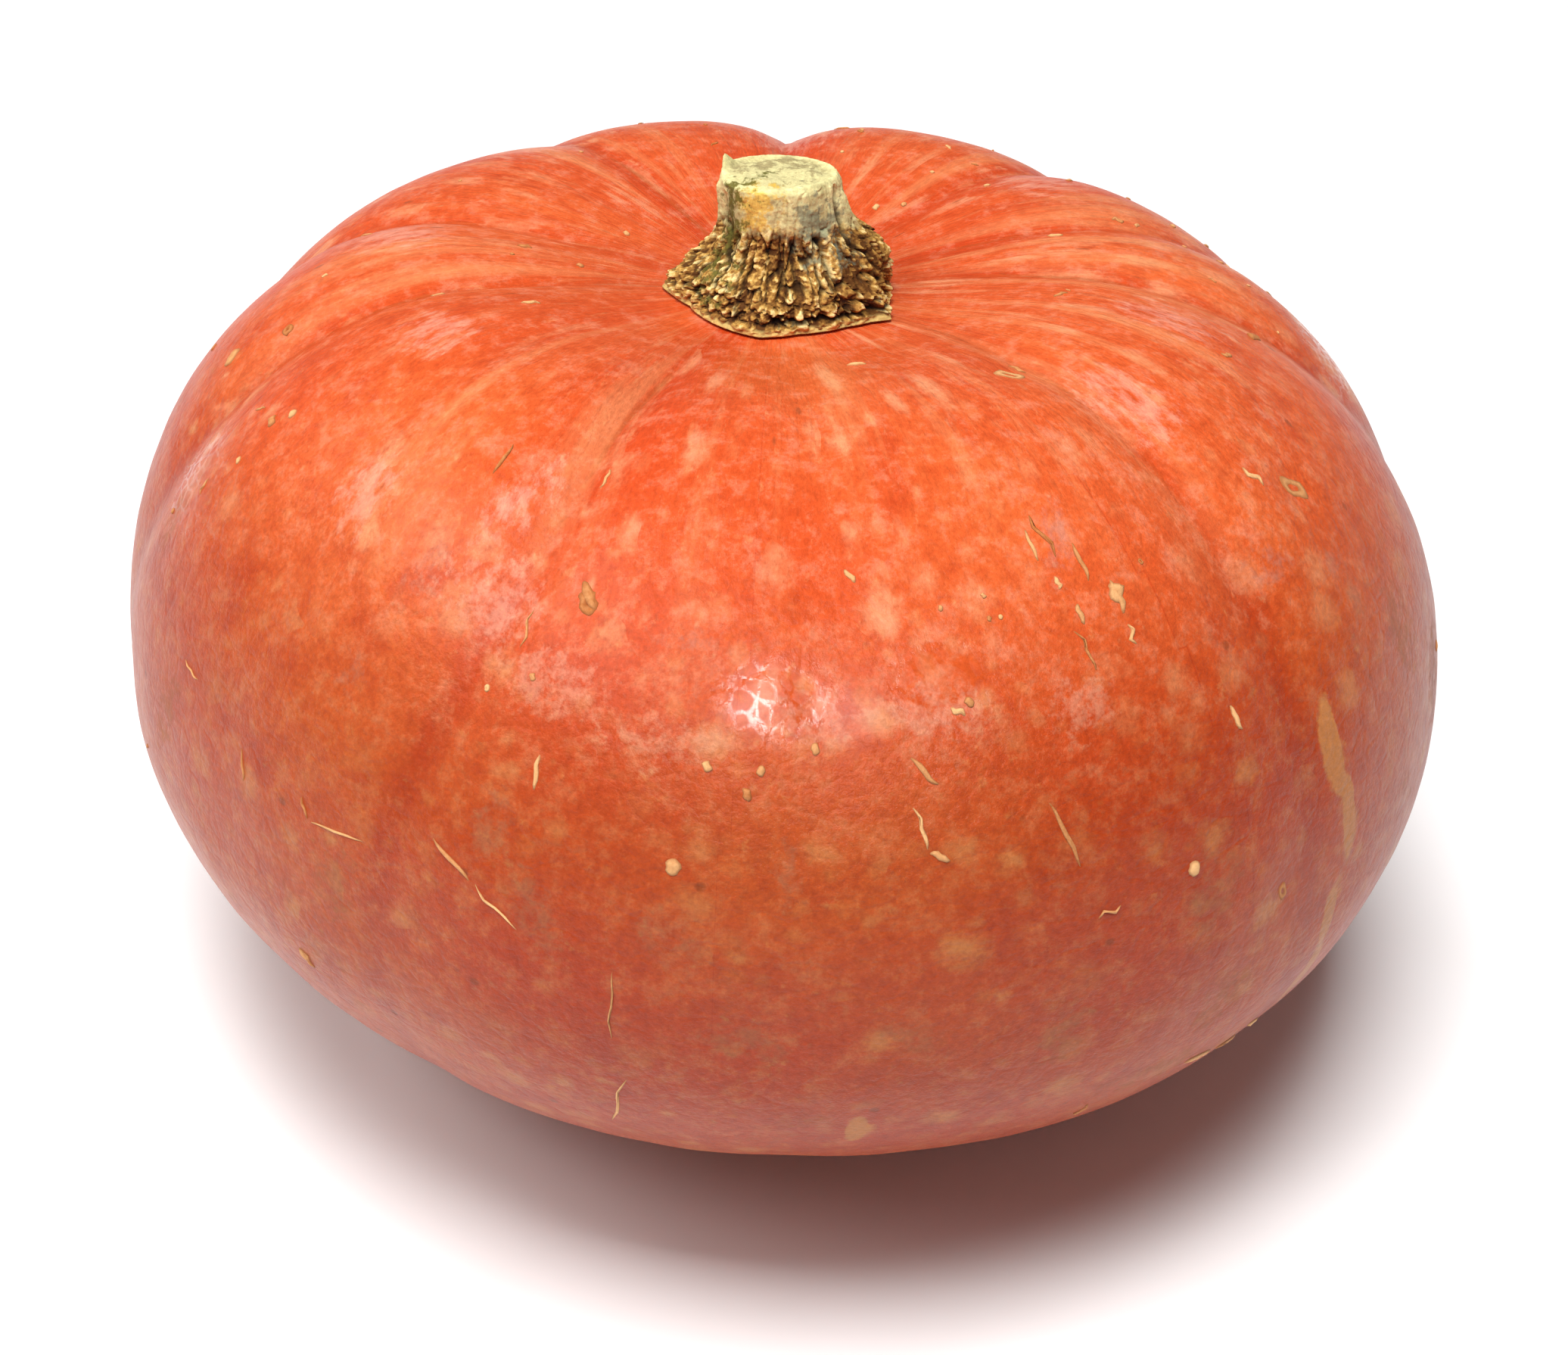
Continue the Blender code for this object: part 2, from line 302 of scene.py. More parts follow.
def standing_shift():
    """Where the fruit's own origin lies: its box stands over the origin, its flat spot at 0."""
    azimuths, travels = np.meshgrid(np.arange(-180.0, 180.0, 2.0), np.linspace(0.0, FULL_TRAVEL, 140))
    points = rind(azimuths.ravel(), travels.ravel()) @ LEAN.T
    low = points.min(axis=0)
    high = points.max(axis=0)
    return np.array([-(low[0] + high[0]) / 2.0, -(low[1] + high[1]) / 2.0, -low[2] - FLAT_SPOT_DEPTH])


SHIFT = standing_shift()


def stand(points):
    """Turn points from the fruit's own frame to where they stand."""
    return points @ LEAN.T + SHIFT


# ---------------------------------------------------------------- materials

def tint(code):
    """Linear colour of an sRGB hex code."""
    parts = [int(code[place:place + 2], 16) / 255.0 for place in (1, 3, 5)]
    linear = [part / 12.92 if part <= 0.04045 else ((part + 0.055) / 1.055) ** 2.4 for part in parts]
    return (*linear, 1.0)


def live(value):
    """A node's first output in use; anything else comes back as it is."""
    if isinstance(value, bpy.types.Node):
        return next(output for output in value.outputs if output.enabled)
    return value


def feed(tree, node, feeds):
    """Set a node's inputs, by name, from values, from nodes or from their outputs."""
    for name, value in feeds.items():
        source = live(value)
        if isinstance(source, bpy.types.NodeSocket):
            tree.links.new(source, node.inputs[name])
        else:
            node.inputs[name].default_value = source


def add(tree, kind, feeds=None, **settings):
    """Add a node with its settings and feed its inputs."""
    node = tree.nodes.new(kind)
    for name, value in settings.items():
        setattr(node, name, value)
    feed(tree, node, feeds or {})
    return node


def blank_material(name):
    """A material with its Principled shader, and the two as a pair."""
    material = bpy.data.materials.new(name)
    material.use_nodes = True
    return material, material.node_tree, material.node_tree.nodes["Principled BSDF"]


# Patches on the skin: azimuth, travel, half width and half length in millimetres, turn in degrees.
# Scuffs are rubbed places with a purple-grey cast.
SCUFFS = (
    (-21, 118, 4, 9, 10), (-17, 128, 5, 10, -15), (1, 117, 2.5, 8, 0), (-37, 107, 3, 5, 20),
    (35, 148, 6, 9, 40), (21, 145, 5, 10, 20), (-1, 142, 10, 5, 0), (10, 141, 8, 4, 30),
    (56, 100, 4, 10, -10), (62, 112, 7, 14, 0), (-60, 130, 5, 12, 20), (-35, 135, 6, 9, 0),
    (33, 128, 7, 10, 20), (30, 160, 14, 5, 0), (-8, 90, 6, 2.5, 0), (27, 78, 3, 7, 20),
    (70, 128, 9, 12, 0), (-70, 108, 4, 9, 10), (48, 92, 6, 5, 0), (120, 90, 6, 9, 20),
    (-120, 100, 7, 9, -20), (170, 120, 9, 7, 0), (-165, 95, 5, 10, 10), (140, 140, 10, 6, 0),
)
# Bloom: places where the natural wax stands thick and pinkish white; the patches on the front shoulder are
# also painted sheen.
BLOOM_AND_SHEEN_PATCHES = (
    (-26, 90, 11, 9, 20), (-18, 98, 12, 7, 0), (-8, 103, 12, 5, 0), (12, 98, 9, 6, 0),
    (-28, 76, 5, 12, 15), (-45, 84, 8, 10, 0), (3, 98, 8, 5, 0), (24, 100, 7, 6, 0),
    (-60, 58, 9, 9, 0), (50, 62, 8, 14, 10), (75, 60, 9, 12, 0), (-100, 60, 12, 14, 0),
    (178, 60, 16, 12, 0), (130, 58, 12, 12, 0), (-140, 64, 12, 12, 0), (95, 100, 12, 14, 0),
)
# Shines: places rubbed smooth, where the wax is polished.
SHINES = (
    (0, 96, 10, 7, 0), (13, 94, 8, 6, 0), (-70, 100, 14, 10, 0),
    (178, 90, 16, 8, 0), (95, 92, 14, 8, 0),
)
# Pale streaks where a leaf or a straw lay on the growing fruit.
PALE_STREAKS = (
    (47, 118, 2.0, 9, 0), (48, 129, 1.7, 8, -4), (46.5, 143, 1.2, 7, 6), (46, 155, 1.4, 8, 8),
    (7, 161, 1.6, 5, 0), (-150, 100, 1.4, 9, 10), (105, 120, 1.2, 8, -12),
)


def patch_mask(patches, azimuth, travel):
    """How deep inside the nearest patch a place lies: 1 in its middle and 0 at its edge."""
    radius = np.interp(travel, TRAVELS, RADII)
    mask = np.zeros_like(azimuth)
    for centre, place, width, length, turn in patches:
        across = np.radians(turn_between(azimuth, centre)) * radius / MM
        along = travel / MM - place
        cosine = math.cos(math.radians(turn))
        sine = math.sin(math.radians(turn))
        span = np.hypot((across * cosine + along * sine) / width, (along * cosine - across * sine) / length)
        mask = np.maximum(mask, 1.0 - span)
    return mask


def ground_colour(tree, growth, wavy, crease):
    """Orange-red skin in drifts 40 mm across with redder blotches of 10 mm, and painted shade: darker red
    along the furrows.
    """
    drift = add(tree, "ShaderNodeTexNoise", {"Vector": growth, "Scale": 24.0, "Detail": 3.0})
    drift = add(tree, "ShaderNodeMapRange", {"Value": drift, "From Min": 0.35, "From Max": 0.65})
    skin = add(
        tree, "ShaderNodeMix", {"Factor": drift, "A": tint("#CC4A20"), "B": tint("#D6602E")},
        data_type="RGBA",
    )
    blotch = add(
        tree, "ShaderNodeTexNoise", {"Vector": wavy, "Scale": 95.0, "Detail": 4.0, "Roughness": 0.6},
    )
    blotch = add(
        tree, "ShaderNodeMapRange", {"Value": blotch, "From Min": 0.52, "From Max": 0.68, "To Max": 0.55},
    )
    skin = add(tree, "ShaderNodeMix", {"Factor": blotch, "A": skin, "B": tint("#BC3C1A")}, data_type="RGBA")
    # Painted shade: the skin turns darker red within 4.5 mm of each deep furrow.
    off = add(tree, "ShaderNodeMath", {0: crease}, operation="ABSOLUTE")
    furrow_painted_shade = add(
        tree, "ShaderNodeMapRange", {"Value": off, "From Min": 4.5, "From Max": 0.5, "To Max": 0.45},
        interpolation_type="SMOOTHSTEP",
    )
    return add(tree, "ShaderNodeMix", {"Factor": furrow_painted_shade, "A": skin, "B": tint("#B63410")}, data_type="RGBA")


def spotted(tree, skin, growth, wavy, scale, most, colour):
    """Pale spots with soft grainy edges, of all sizes up to the cell's, some cells without one."""
    cell = add(tree, "ShaderNodeTexVoronoi", {"Vector": wavy, "Scale": scale})
    pick = add(tree, "ShaderNodeSeparateColor", {"Color": cell.outputs["Color"]})
    size = add(
        tree, "ShaderNodeMapRange", {"Value": pick, "From Min": 0.15, "To Min": 0.02, "To Max": 0.62},
    )
    share = add(tree, "ShaderNodeMath", {0: cell, 1: size}, operation="DIVIDE")
    ragged = add(
        tree, "ShaderNodeTexNoise", {"Vector": growth, "Scale": scale * 4.0, "Detail": 5.0,
            "Roughness": 0.65},
    )
    edge = add(tree, "ShaderNodeMath", {0: ragged, 1: 1.2, 2: share}, operation="MULTIPLY_ADD")
    disc = add(
        tree, "ShaderNodeMapRange", {"Value": edge, "From Min": 1.60, "From Max": 0.75},
        interpolation_type="SMOOTHSTEP",
    )
    crowd = add(tree, "ShaderNodeTexNoise", {"Vector": growth, "Scale": 36.0, "Detail": 2.0})
    crowd = add(
        tree, "ShaderNodeMapRange", {"Value": crowd, "From Min": 0.34, "From Max": 0.56,
            "To Min": 0.30 * most, "To Max": most},
    )
    amount = add(tree, "ShaderNodeMath", {0: disc, 1: crowd}, operation="MULTIPLY")
    return add(tree, "ShaderNodeMix", {"Factor": amount, "A": skin, "B": tint(colour)}, data_type="RGBA")


def mottled(tree, skin, place):
    """Restless mottling of 1 to 4 mm: pinkish where the wax is thick and redder in between."""
    grainy = add(
        tree, "ShaderNodeTexNoise", {"Vector": place, "Scale": 260.0, "Detail": 7.0, "Roughness": 0.78},
    )
    light = add(
        tree, "ShaderNodeMapRange", {"Value": grainy, "From Min": 0.50, "From Max": 0.74, "To Max": 0.55},
    )
    deep = add(
        tree, "ShaderNodeMapRange", {"Value": grainy, "From Min": 0.50, "From Max": 0.30, "To Max": 0.60},
    )
    skin = add(tree, "ShaderNodeMix", {"Factor": light, "A": skin, "B": tint("#EA9C7C")}, data_type="RGBA")
    return add(tree, "ShaderNodeMix", {"Factor": deep, "A": skin, "B": tint("#B23812")}, data_type="RGBA")


def streaked(tree, skin, growth, travel):
    """Soft pale streaks that run in to the stalk, 2 mm wide, and gone by the shoulder."""
    drawn = add(tree, "ShaderNodeVectorMath", {0: growth, 1: (1.0, 1.0, 0.16)}, operation="MULTIPLY")
    line = add(
        tree, "ShaderNodeTexNoise", {"Vector": drawn, "Scale": 105.0, "Detail": 5.0, "Roughness": 0.6},
    )
    line = add(tree, "ShaderNodeMapRange", {"Value": line, "From Min": 0.51, "From Max": 0.66})
    near = add(
        tree, "ShaderNodeMapRange", {"Value": travel, "From Min": 52.0, "From Max": 98.0, "To Min": 0.48,
            "To Max": 0.0},
    )
    clear = add(
        tree, "ShaderNodeMapRange", {"Value": travel, "From Min": 26.0, "From Max": 60.0, "To Min": 0.45},
    )
    amount = add(tree, "ShaderNodeMath", {0: line, 1: near}, operation="MULTIPLY")
    amount = add(tree, "ShaderNodeMath", {0: amount, 1: clear}, operation="MULTIPLY")
    return add(tree, "ShaderNodeMix", {"Factor": amount, "A": skin, "B": tint("#E69A66")}, data_type="RGBA")


def seamed(tree, skin, growth, crease, travel):
    """Thin tan line in the bottom of each furrow, broken up along its length."""
    off = add(tree, "ShaderNodeMath", {0: crease}, operation="ABSOLUTE")
    seam = add(tree, "ShaderNodeMapRange", {"Value": off, "From Min": 0.75, "From Max": 0.15})
    broken = add(tree, "ShaderNodeTexNoise", {"Vector": growth, "Scale": 90.0, "Detail": 2.0})
    broken = add(
        tree, "ShaderNodeMapRange", {"Value": broken, "From Min": 0.42, "From Max": 0.60, "To Max": 0.45},
    )
    high = add(
        tree, "ShaderNodeMapRange", {"Value": travel, "From Min": 85.0, "From Max": 45.0, "To Min": 0.05},
    )
    seam = add(tree, "ShaderNodeMath", {0: seam, 1: broken}, operation="MULTIPLY")
    seam = add(tree, "ShaderNodeMath", {0: seam, 1: high}, operation="MULTIPLY")
    return add(tree, "ShaderNodeMix", {"Factor": seam, "A": skin, "B": tint("#8E5428")}, data_type="RGBA")


def laced(tree, skin, mask, lace, most, colour):
    """Lay a colour over a patch in a broken lace that thins out towards the patch's edge."""
    inside = add(tree, "ShaderNodeMapRange", {"Value": mask, "From Max": 0.7, "To Max": 0.20})
    cover = add(tree, "ShaderNodeMath", {0: lace, 1: inside}, operation="ADD")
    cover = add(
        tree, "ShaderNodeMapRange", {"Value": cover, "From Min": 0.60, "From Max": 0.76, "To Max": most},
    )
    within = add(tree, "ShaderNodeMapRange", {"Value": mask, "From Max": 0.25})
    cover = add(tree, "ShaderNodeMath", {0: cover, 1: within}, operation="MULTIPLY")
    over = add(tree, "ShaderNodeMix", {"Factor": cover, "A": skin, "B": tint(colour)}, data_type="RGBA")
    return over, cover


def patterned(tree, growth, wavy, crease, travel):
    """The skin's own pattern: ground, spots, mottling, streaks and the furrows' seams."""
    skin = ground_colour(tree, growth, wavy, crease)
    skin = spotted(tree, skin, growth, wavy, 150.0, 0.62, "#E69C70")
    skin = spotted(tree, skin, growth, wavy, 270.0, 0.40, "#DF8C5C")
    skin = mottled(tree, skin, add(tree, "ShaderNodeTexCoord").outputs["Object"])
    skin = streaked(tree, skin, growth, travel)
    skin = seamed(tree, skin, growth, crease, travel)
    return skin


def tip_specks_and_painted_shade(tree, skin, growth, travel, fine):
    """The tip's brown cork, brown specks, painted shade that makes the lower half darker and redder, and the
    fine grain.
    """
    tip = add(
        tree, "ShaderNodeMapRange", {"Value": travel, "From Min": FULL_TRAVEL / MM - 8.0,
            "From Max": FULL_TRAVEL / MM - 5.5},
    )
    skin = add(tree, "ShaderNodeMix", {"Factor": tip, "A": skin, "B": tint("#8B6A45")}, data_type="RGBA")
    specks = add(tree, "ShaderNodeTexVoronoi", {"Vector": growth, "Scale": 96.0})
    speck = add(
        tree, "ShaderNodeMapRange", {"Value": specks, "From Min": 0.07, "From Max": 0.04, "To Max": 0.55},
    )
    skin = add(tree, "ShaderNodeMix", {"Factor": speck, "A": skin, "B": tint("#8A4426")}, data_type="RGBA")
    # Painted shade: the lower half is darker and redder, more so towards the bottom.
    painted_low_shade = add(
        tree, "ShaderNodeMapRange", {"Value": travel, "From Min": 76.0, "From Max": 122.0},
        interpolation_type="SMOOTHSTEP",
    )
    painted_low_shade = add(
        tree, "ShaderNodeMix", {"Factor": painted_low_shade, "A": (1.0, 1.0, 1.0, 1.0), "B": (0.62, 0.56, 0.32, 1.0)},
        data_type="RGBA",
    )
    tone = add(
        tree, "ShaderNodeMapRange", {"Value": fine, "From Min": 0.25, "From Max": 0.75, "To Min": 0.84,
            "To Max": 1.16},
    )
    skin = add(tree, "ShaderNodeVectorMath", {0: skin, 1: painted_low_shade}, operation="MULTIPLY")
    skin = add(tree, "ShaderNodeVectorMath", {0: skin, "Scale": tone}, operation="SCALE")
    return skin


def relieved(tree, wavy, fine, lace, polish):
    """Relief too fine for the mesh: wax crackled in cells of 4 mm and a leathery grain."""
    crackle = add(
        tree, "ShaderNodeTexVoronoi", {"Vector": wavy, "Scale": 260.0}, feature="DISTANCE_TO_EDGE",
    )
    crackle = add(tree, "ShaderNodeMapRange", {"Value": crackle, "From Max": 0.14})
    relief = add(tree, "ShaderNodeMath", {0: crackle, 1: 0.5, 2: fine}, operation="MULTIPLY_ADD")
    relief = add(tree, "ShaderNodeMath", {0: lace, 1: 2.2, 2: relief}, operation="MULTIPLY_ADD")
    smooth = add(tree, "ShaderNodeMath", {0: polish, 1: 3.3, 2: 1.0}, operation="MULTIPLY_ADD")
    relief = add(tree, "ShaderNodeMath", {0: relief, 1: smooth}, operation="MULTIPLY")
    bump = add(tree, "ShaderNodeBump", {"Height": relief, "Strength": 1.0, "Distance": 0.11 * MM})
    return bump


def waxy_rind():
    """Ripe squash skin: hard rind under a thin natural wax, which gives it a soft satin gloss."""
    material, tree, shader = blank_material("waxy orange rind")
    growth = add(tree, "ShaderNodeAttribute", attribute_name="growth").outputs["Vector"]
    crease = add(tree, "ShaderNodeAttribute", attribute_name="crease").outputs["Fac"]
    travel = add(tree, "ShaderNodeAttribute", attribute_name="travel").outputs["Fac"]
    scuff = add(tree, "ShaderNodeAttribute", attribute_name="scuff").outputs["Fac"]
    bloom_and_sheen = add(tree, "ShaderNodeAttribute", attribute_name="bloom_and_sheen").outputs["Fac"]
    pale = add(tree, "ShaderNodeAttribute", attribute_name="pale").outputs["Fac"]
    shine = add(tree, "ShaderNodeAttribute", attribute_name="shine").outputs["Fac"]

    # The spots' waviness: up to 2 mm over 5 mm.
    wave = add(tree, "ShaderNodeTexNoise", {"Vector": growth, "Scale": 200.0, "Detail": 2.0})
    wave = add(
        tree, "ShaderNodeVectorMath", {0: wave.outputs["Color"], 1: (0.003,) * 3, 2: (-0.0015,) * 3},
        operation="MULTIPLY_ADD",
    )
    wavy = add(tree, "ShaderNodeVectorMath", {0: growth, 1: wave}, operation="ADD")
    # Grain of 0.6 mm and lace of 2 mm, used for colour, gloss and relief alike.
    fine = add(
        tree, "ShaderNodeTexNoise", {"Vector": growth, "Scale": 1500.0, "Detail": 2.0, "Roughness": 0.7},
    )
    lace = add(
        tree, "ShaderNodeTexNoise", {"Vector": growth, "Scale": 420.0, "Detail": 6.0, "Roughness": 0.72},
    )

    skin = patterned(tree, growth, wavy, crease, travel)
    # Bloom, on the front shoulder partly painted sheen, and scuffs, with some stray scuffs besides.
    stray = add(tree, "ShaderNodeTexNoise", {"Vector": growth, "Scale": 48.0, "Detail": 2.0})
    stray = add(
        tree, "ShaderNodeMapRange", {"Value": stray, "From Min": 0.60, "From Max": 0.85, "To Max": 0.6},
    )
    scuffed = add(tree, "ShaderNodeMath", {0: scuff, 1: stray}, operation="MAXIMUM")
    skin, _ = laced(tree, skin, bloom_and_sheen, lace, 0.42, "#E9A892")
    skin, rubbed = laced(tree, skin, scuffed, lace, 0.50, "#BC7C6C")

    # Pale streaks with a crisp edge.
    crisp = add(tree, "ShaderNodeMath", {0: lace, 1: 0.5, 2: pale}, operation="MULTIPLY_ADD")
    crisp = add(
        tree, "ShaderNodeMapRange", {"Value": crisp, "From Min": 0.30, "From Max": 0.42, "To Max": 0.8},
    )
    skin = add(tree, "ShaderNodeMix", {"Factor": crisp, "A": skin, "B": tint("#E29A66")}, data_type="RGBA")
    skin = tip_specks_and_painted_shade(tree, skin, growth, travel, fine)

    # Wax: smooth on open skin, dull where it is scuffed.
    gloss = add(
        tree, "ShaderNodeMapRange", {"Value": lace, "From Min": 0.3, "From Max": 0.7, "To Min": 0.30,
            "To Max": 0.42},
    )
    gloss = add(tree, "ShaderNodeMath", {0: rubbed, 1: 0.30, 2: gloss}, operation="MULTIPLY_ADD")
    # Rubbed places are polished along a network of lines 2 mm apart.
    polish = add(tree, "ShaderNodeMapRange", {"Value": shine, "From Max": 0.5, "To Max": -0.26})
    network = add(
        tree, "ShaderNodeTexVoronoi", {"Vector": wavy, "Scale": 520.0}, feature="DISTANCE_TO_EDGE",
    )
    network = add(tree, "ShaderNodeMapRange", {"Value": network, "From Min": 0.15, "From Max": 0.05})
    gloss = add(tree, "ShaderNodeMath", {0: network, 1: polish, 2: gloss}, operation="MULTIPLY_ADD")

    bump = relieved(tree, wavy, fine, lace, polish)
    feed(tree, shader, {"Base Color": skin, "Roughness": gloss, "Normal": bump})
    shader.inputs["IOR"].default_value = 1.45
    shader.inputs["Specular IOR Level"].default_value = 0.32
    shader.inputs["Coat Weight"].default_value = 0.06
    shader.inputs["Coat Roughness"].default_value = 0.15
    return material


# ---------------------------------------------------------------- the fruit

PATTERN_RADIUS = 0.085


def stretched(travel):
    """Travel as the skin's pattern feels it: it is drawn out lengthwise towards the stalk."""
    samples = np.linspace(0.0, FULL_TRAVEL, 2000)
    stretch = 1.0 + 2.6 * np.exp(-((samples / 0.056) ** 2))
    reached = np.concatenate([[0.0], np.cumsum(np.diff(samples) / stretch[1:])])
    return np.interp(travel, samples, reached)


def make_fruit():
    """The rind: an even turned grid laid out again on the finished shape."""
    rows = np.linspace(FULL_TRAVEL, 0.0, RIND_ROWS + 1)
    points = list(zip(np.interp(rows, TRAVELS, RADII), np.interp(rows, TRAVELS, HEIGHTS)))
    shape = turned_mesh(points, RIND_STEPS)
    piece = finish_piece("squash_rind", shape, waxy_rind())
    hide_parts("fruit")
    mesh = piece.data
    turned = read_points(mesh)
    azimuth = np.degrees(np.arctan2(turned[:, 0], -turned[:, 1]))
    travel = travel_of(turned, rows)
    placed = stand(rind(azimuth, travel))
    placed[:, 2] = np.maximum(placed[:, 2], 0.0)
    write_points(mesh, placed)
    course = np.radians(growth_course(azimuth, travel))
    growth = [np.sin(course) * PATTERN_RADIUS, -np.cos(course) * PATTERN_RADIUS, stretched(travel)]
    store(mesh, "growth", np.stack(growth, axis=-1))
    store(mesh, "crease", crease_offset(azimuth, travel)[0])
    store(mesh, "travel", travel / MM)
    store(mesh, "scuff", patch_mask(SCUFFS, azimuth, travel))
    store(mesh, "bloom_and_sheen", patch_mask(BLOOM_AND_SHEEN_PATCHES, azimuth, travel))
    store(mesh, "pale", patch_mask(PALE_STREAKS, azimuth, travel))
    store(mesh, "shine", patch_mask(SHINES, azimuth, travel))


def travel_of(points, rows):
    """Travel of points that still lie on the turned profile's rows."""
    radius = np.hypot(points[:, 0], points[:, 1])
    row_radius = np.interp(rows, TRAVELS, RADII)
    row_height = np.interp(rows, TRAVELS, HEIGHTS)
    travel = np.empty(len(points))
    for start in range(0, len(points), 8192):
        part = slice(start, start + 8192)
        gap = np.abs(radius[part, None] - row_radius) + np.abs(points[part, 2:3] - row_height)
        travel[part] = rows[gap.argmin(axis=1)]
    return travel


# ---------------------------------------------------------------- the stalk

SEAT_HEIGHT = float(HEIGHTS[0])
STALK_GAP = 0.0003
STALK_STEPS = 360
CUT_HEIGHT = 19.5
CUT_SLOPE = 5.0

# Stalk radii in millimetres by height, at the front, right, back and left.
STALK_LEVELS = (0.0, 1.2, 3.0, 5.0, 7.0, 9.0, 11.0, 13.0, 16.0, 19.5)
STALK_SIDES = (
    (17.4, 17.6, 16.6, 14.6, 11.5, 10.2, 9.8, 9.6, 9.3, 8.9),
    (16.4, 16.6, 16.6, 16.8, 16.6, 15.0, 12.0, 10.6, 9.6, 8.9),
    (14.5, 14.6, 13.8, 12.4, 11.0, 10.1, 9.6, 9.2, 9.0, 8.8),
    (16.0, 16.2, 15.2, 13.0, 10.4, 9.2, 8.7, 8.5, 8.7, 9.0),
)
# Outline of the corky base: azimuth and radius in millimetres.
BASE_OUTLINE = (
    (-180, 14.5), (-140, 14.4), (-115, 14.8), (-98, 16.2), (-88, 17.4), (-76, 16.0), (-60, 15.0),
    (-33, 16.6), (-8, 18.4), (11, 17.0), (37, 17.2), (50, 18.4), (58, 20.2), (68, 18.0), (85, 17.4),
    (111, 18.0),
    (130, 16.0), (155, 14.8), (180, 14.5),
)
# Vertical splits and ribs of the neck: azimuth, lowest and highest height, width in degrees and depth.
SPLITS = (
    (64, 8, 18.5, 4, 1.5), (-68, 9, 17, 4, 1.0), (-40, 5, 12, 3, 0.9), (12, 4, 12, 2.5, 1.0),
    (34, 4, 12, 3, 1.0), (80, 8, 17, 5, -0.5), (-84, 9, 18, 5, -0.6), (120, 5, 15, 3, 1.0),
    (165, 4, 14, 3, 1.0), (-150, 5, 15, 3, 1.0), (-120, 4, 12, 3, 0.9), (95, 6, 17, 3, 0.8),
)


def stalk_radius(azimuth, height):
    """Radius in millimetres of the stalk before its cork is broken up."""
    turn = np.radians(azimuth)
    weights = [np.maximum(0.0, np.cos(turn - side * math.pi / 2.0)) ** 2 for side in range(4)]
    radius = sum(weight * np.interp(height, STALK_LEVELS, side)
                 for weight, side in zip(weights, STALK_SIDES))
    at_base = sum(weight * side[0] for weight, side in zip(weights, STALK_SIDES))
    outline = np.interp(azimuth, *np.array(BASE_OUTLINE).T)
    return radius + (outline - at_base) * (1.0 - ease(height / 7.5))


def cork_cells(points):
    """Distance to the nearest cell edge and a number for each cell, at points in cells."""
    edge = np.empty(len(points))
    chance = np.empty(len(points))
    for index, point in enumerate(points):
        spans, places = noise.voronoi(Vector(point))
        edge[index] = spans[1] - spans[0]
        chance[index] = noise.cell(places[0] * 7.3)
    return edge, chance * 2.0 - 1.0


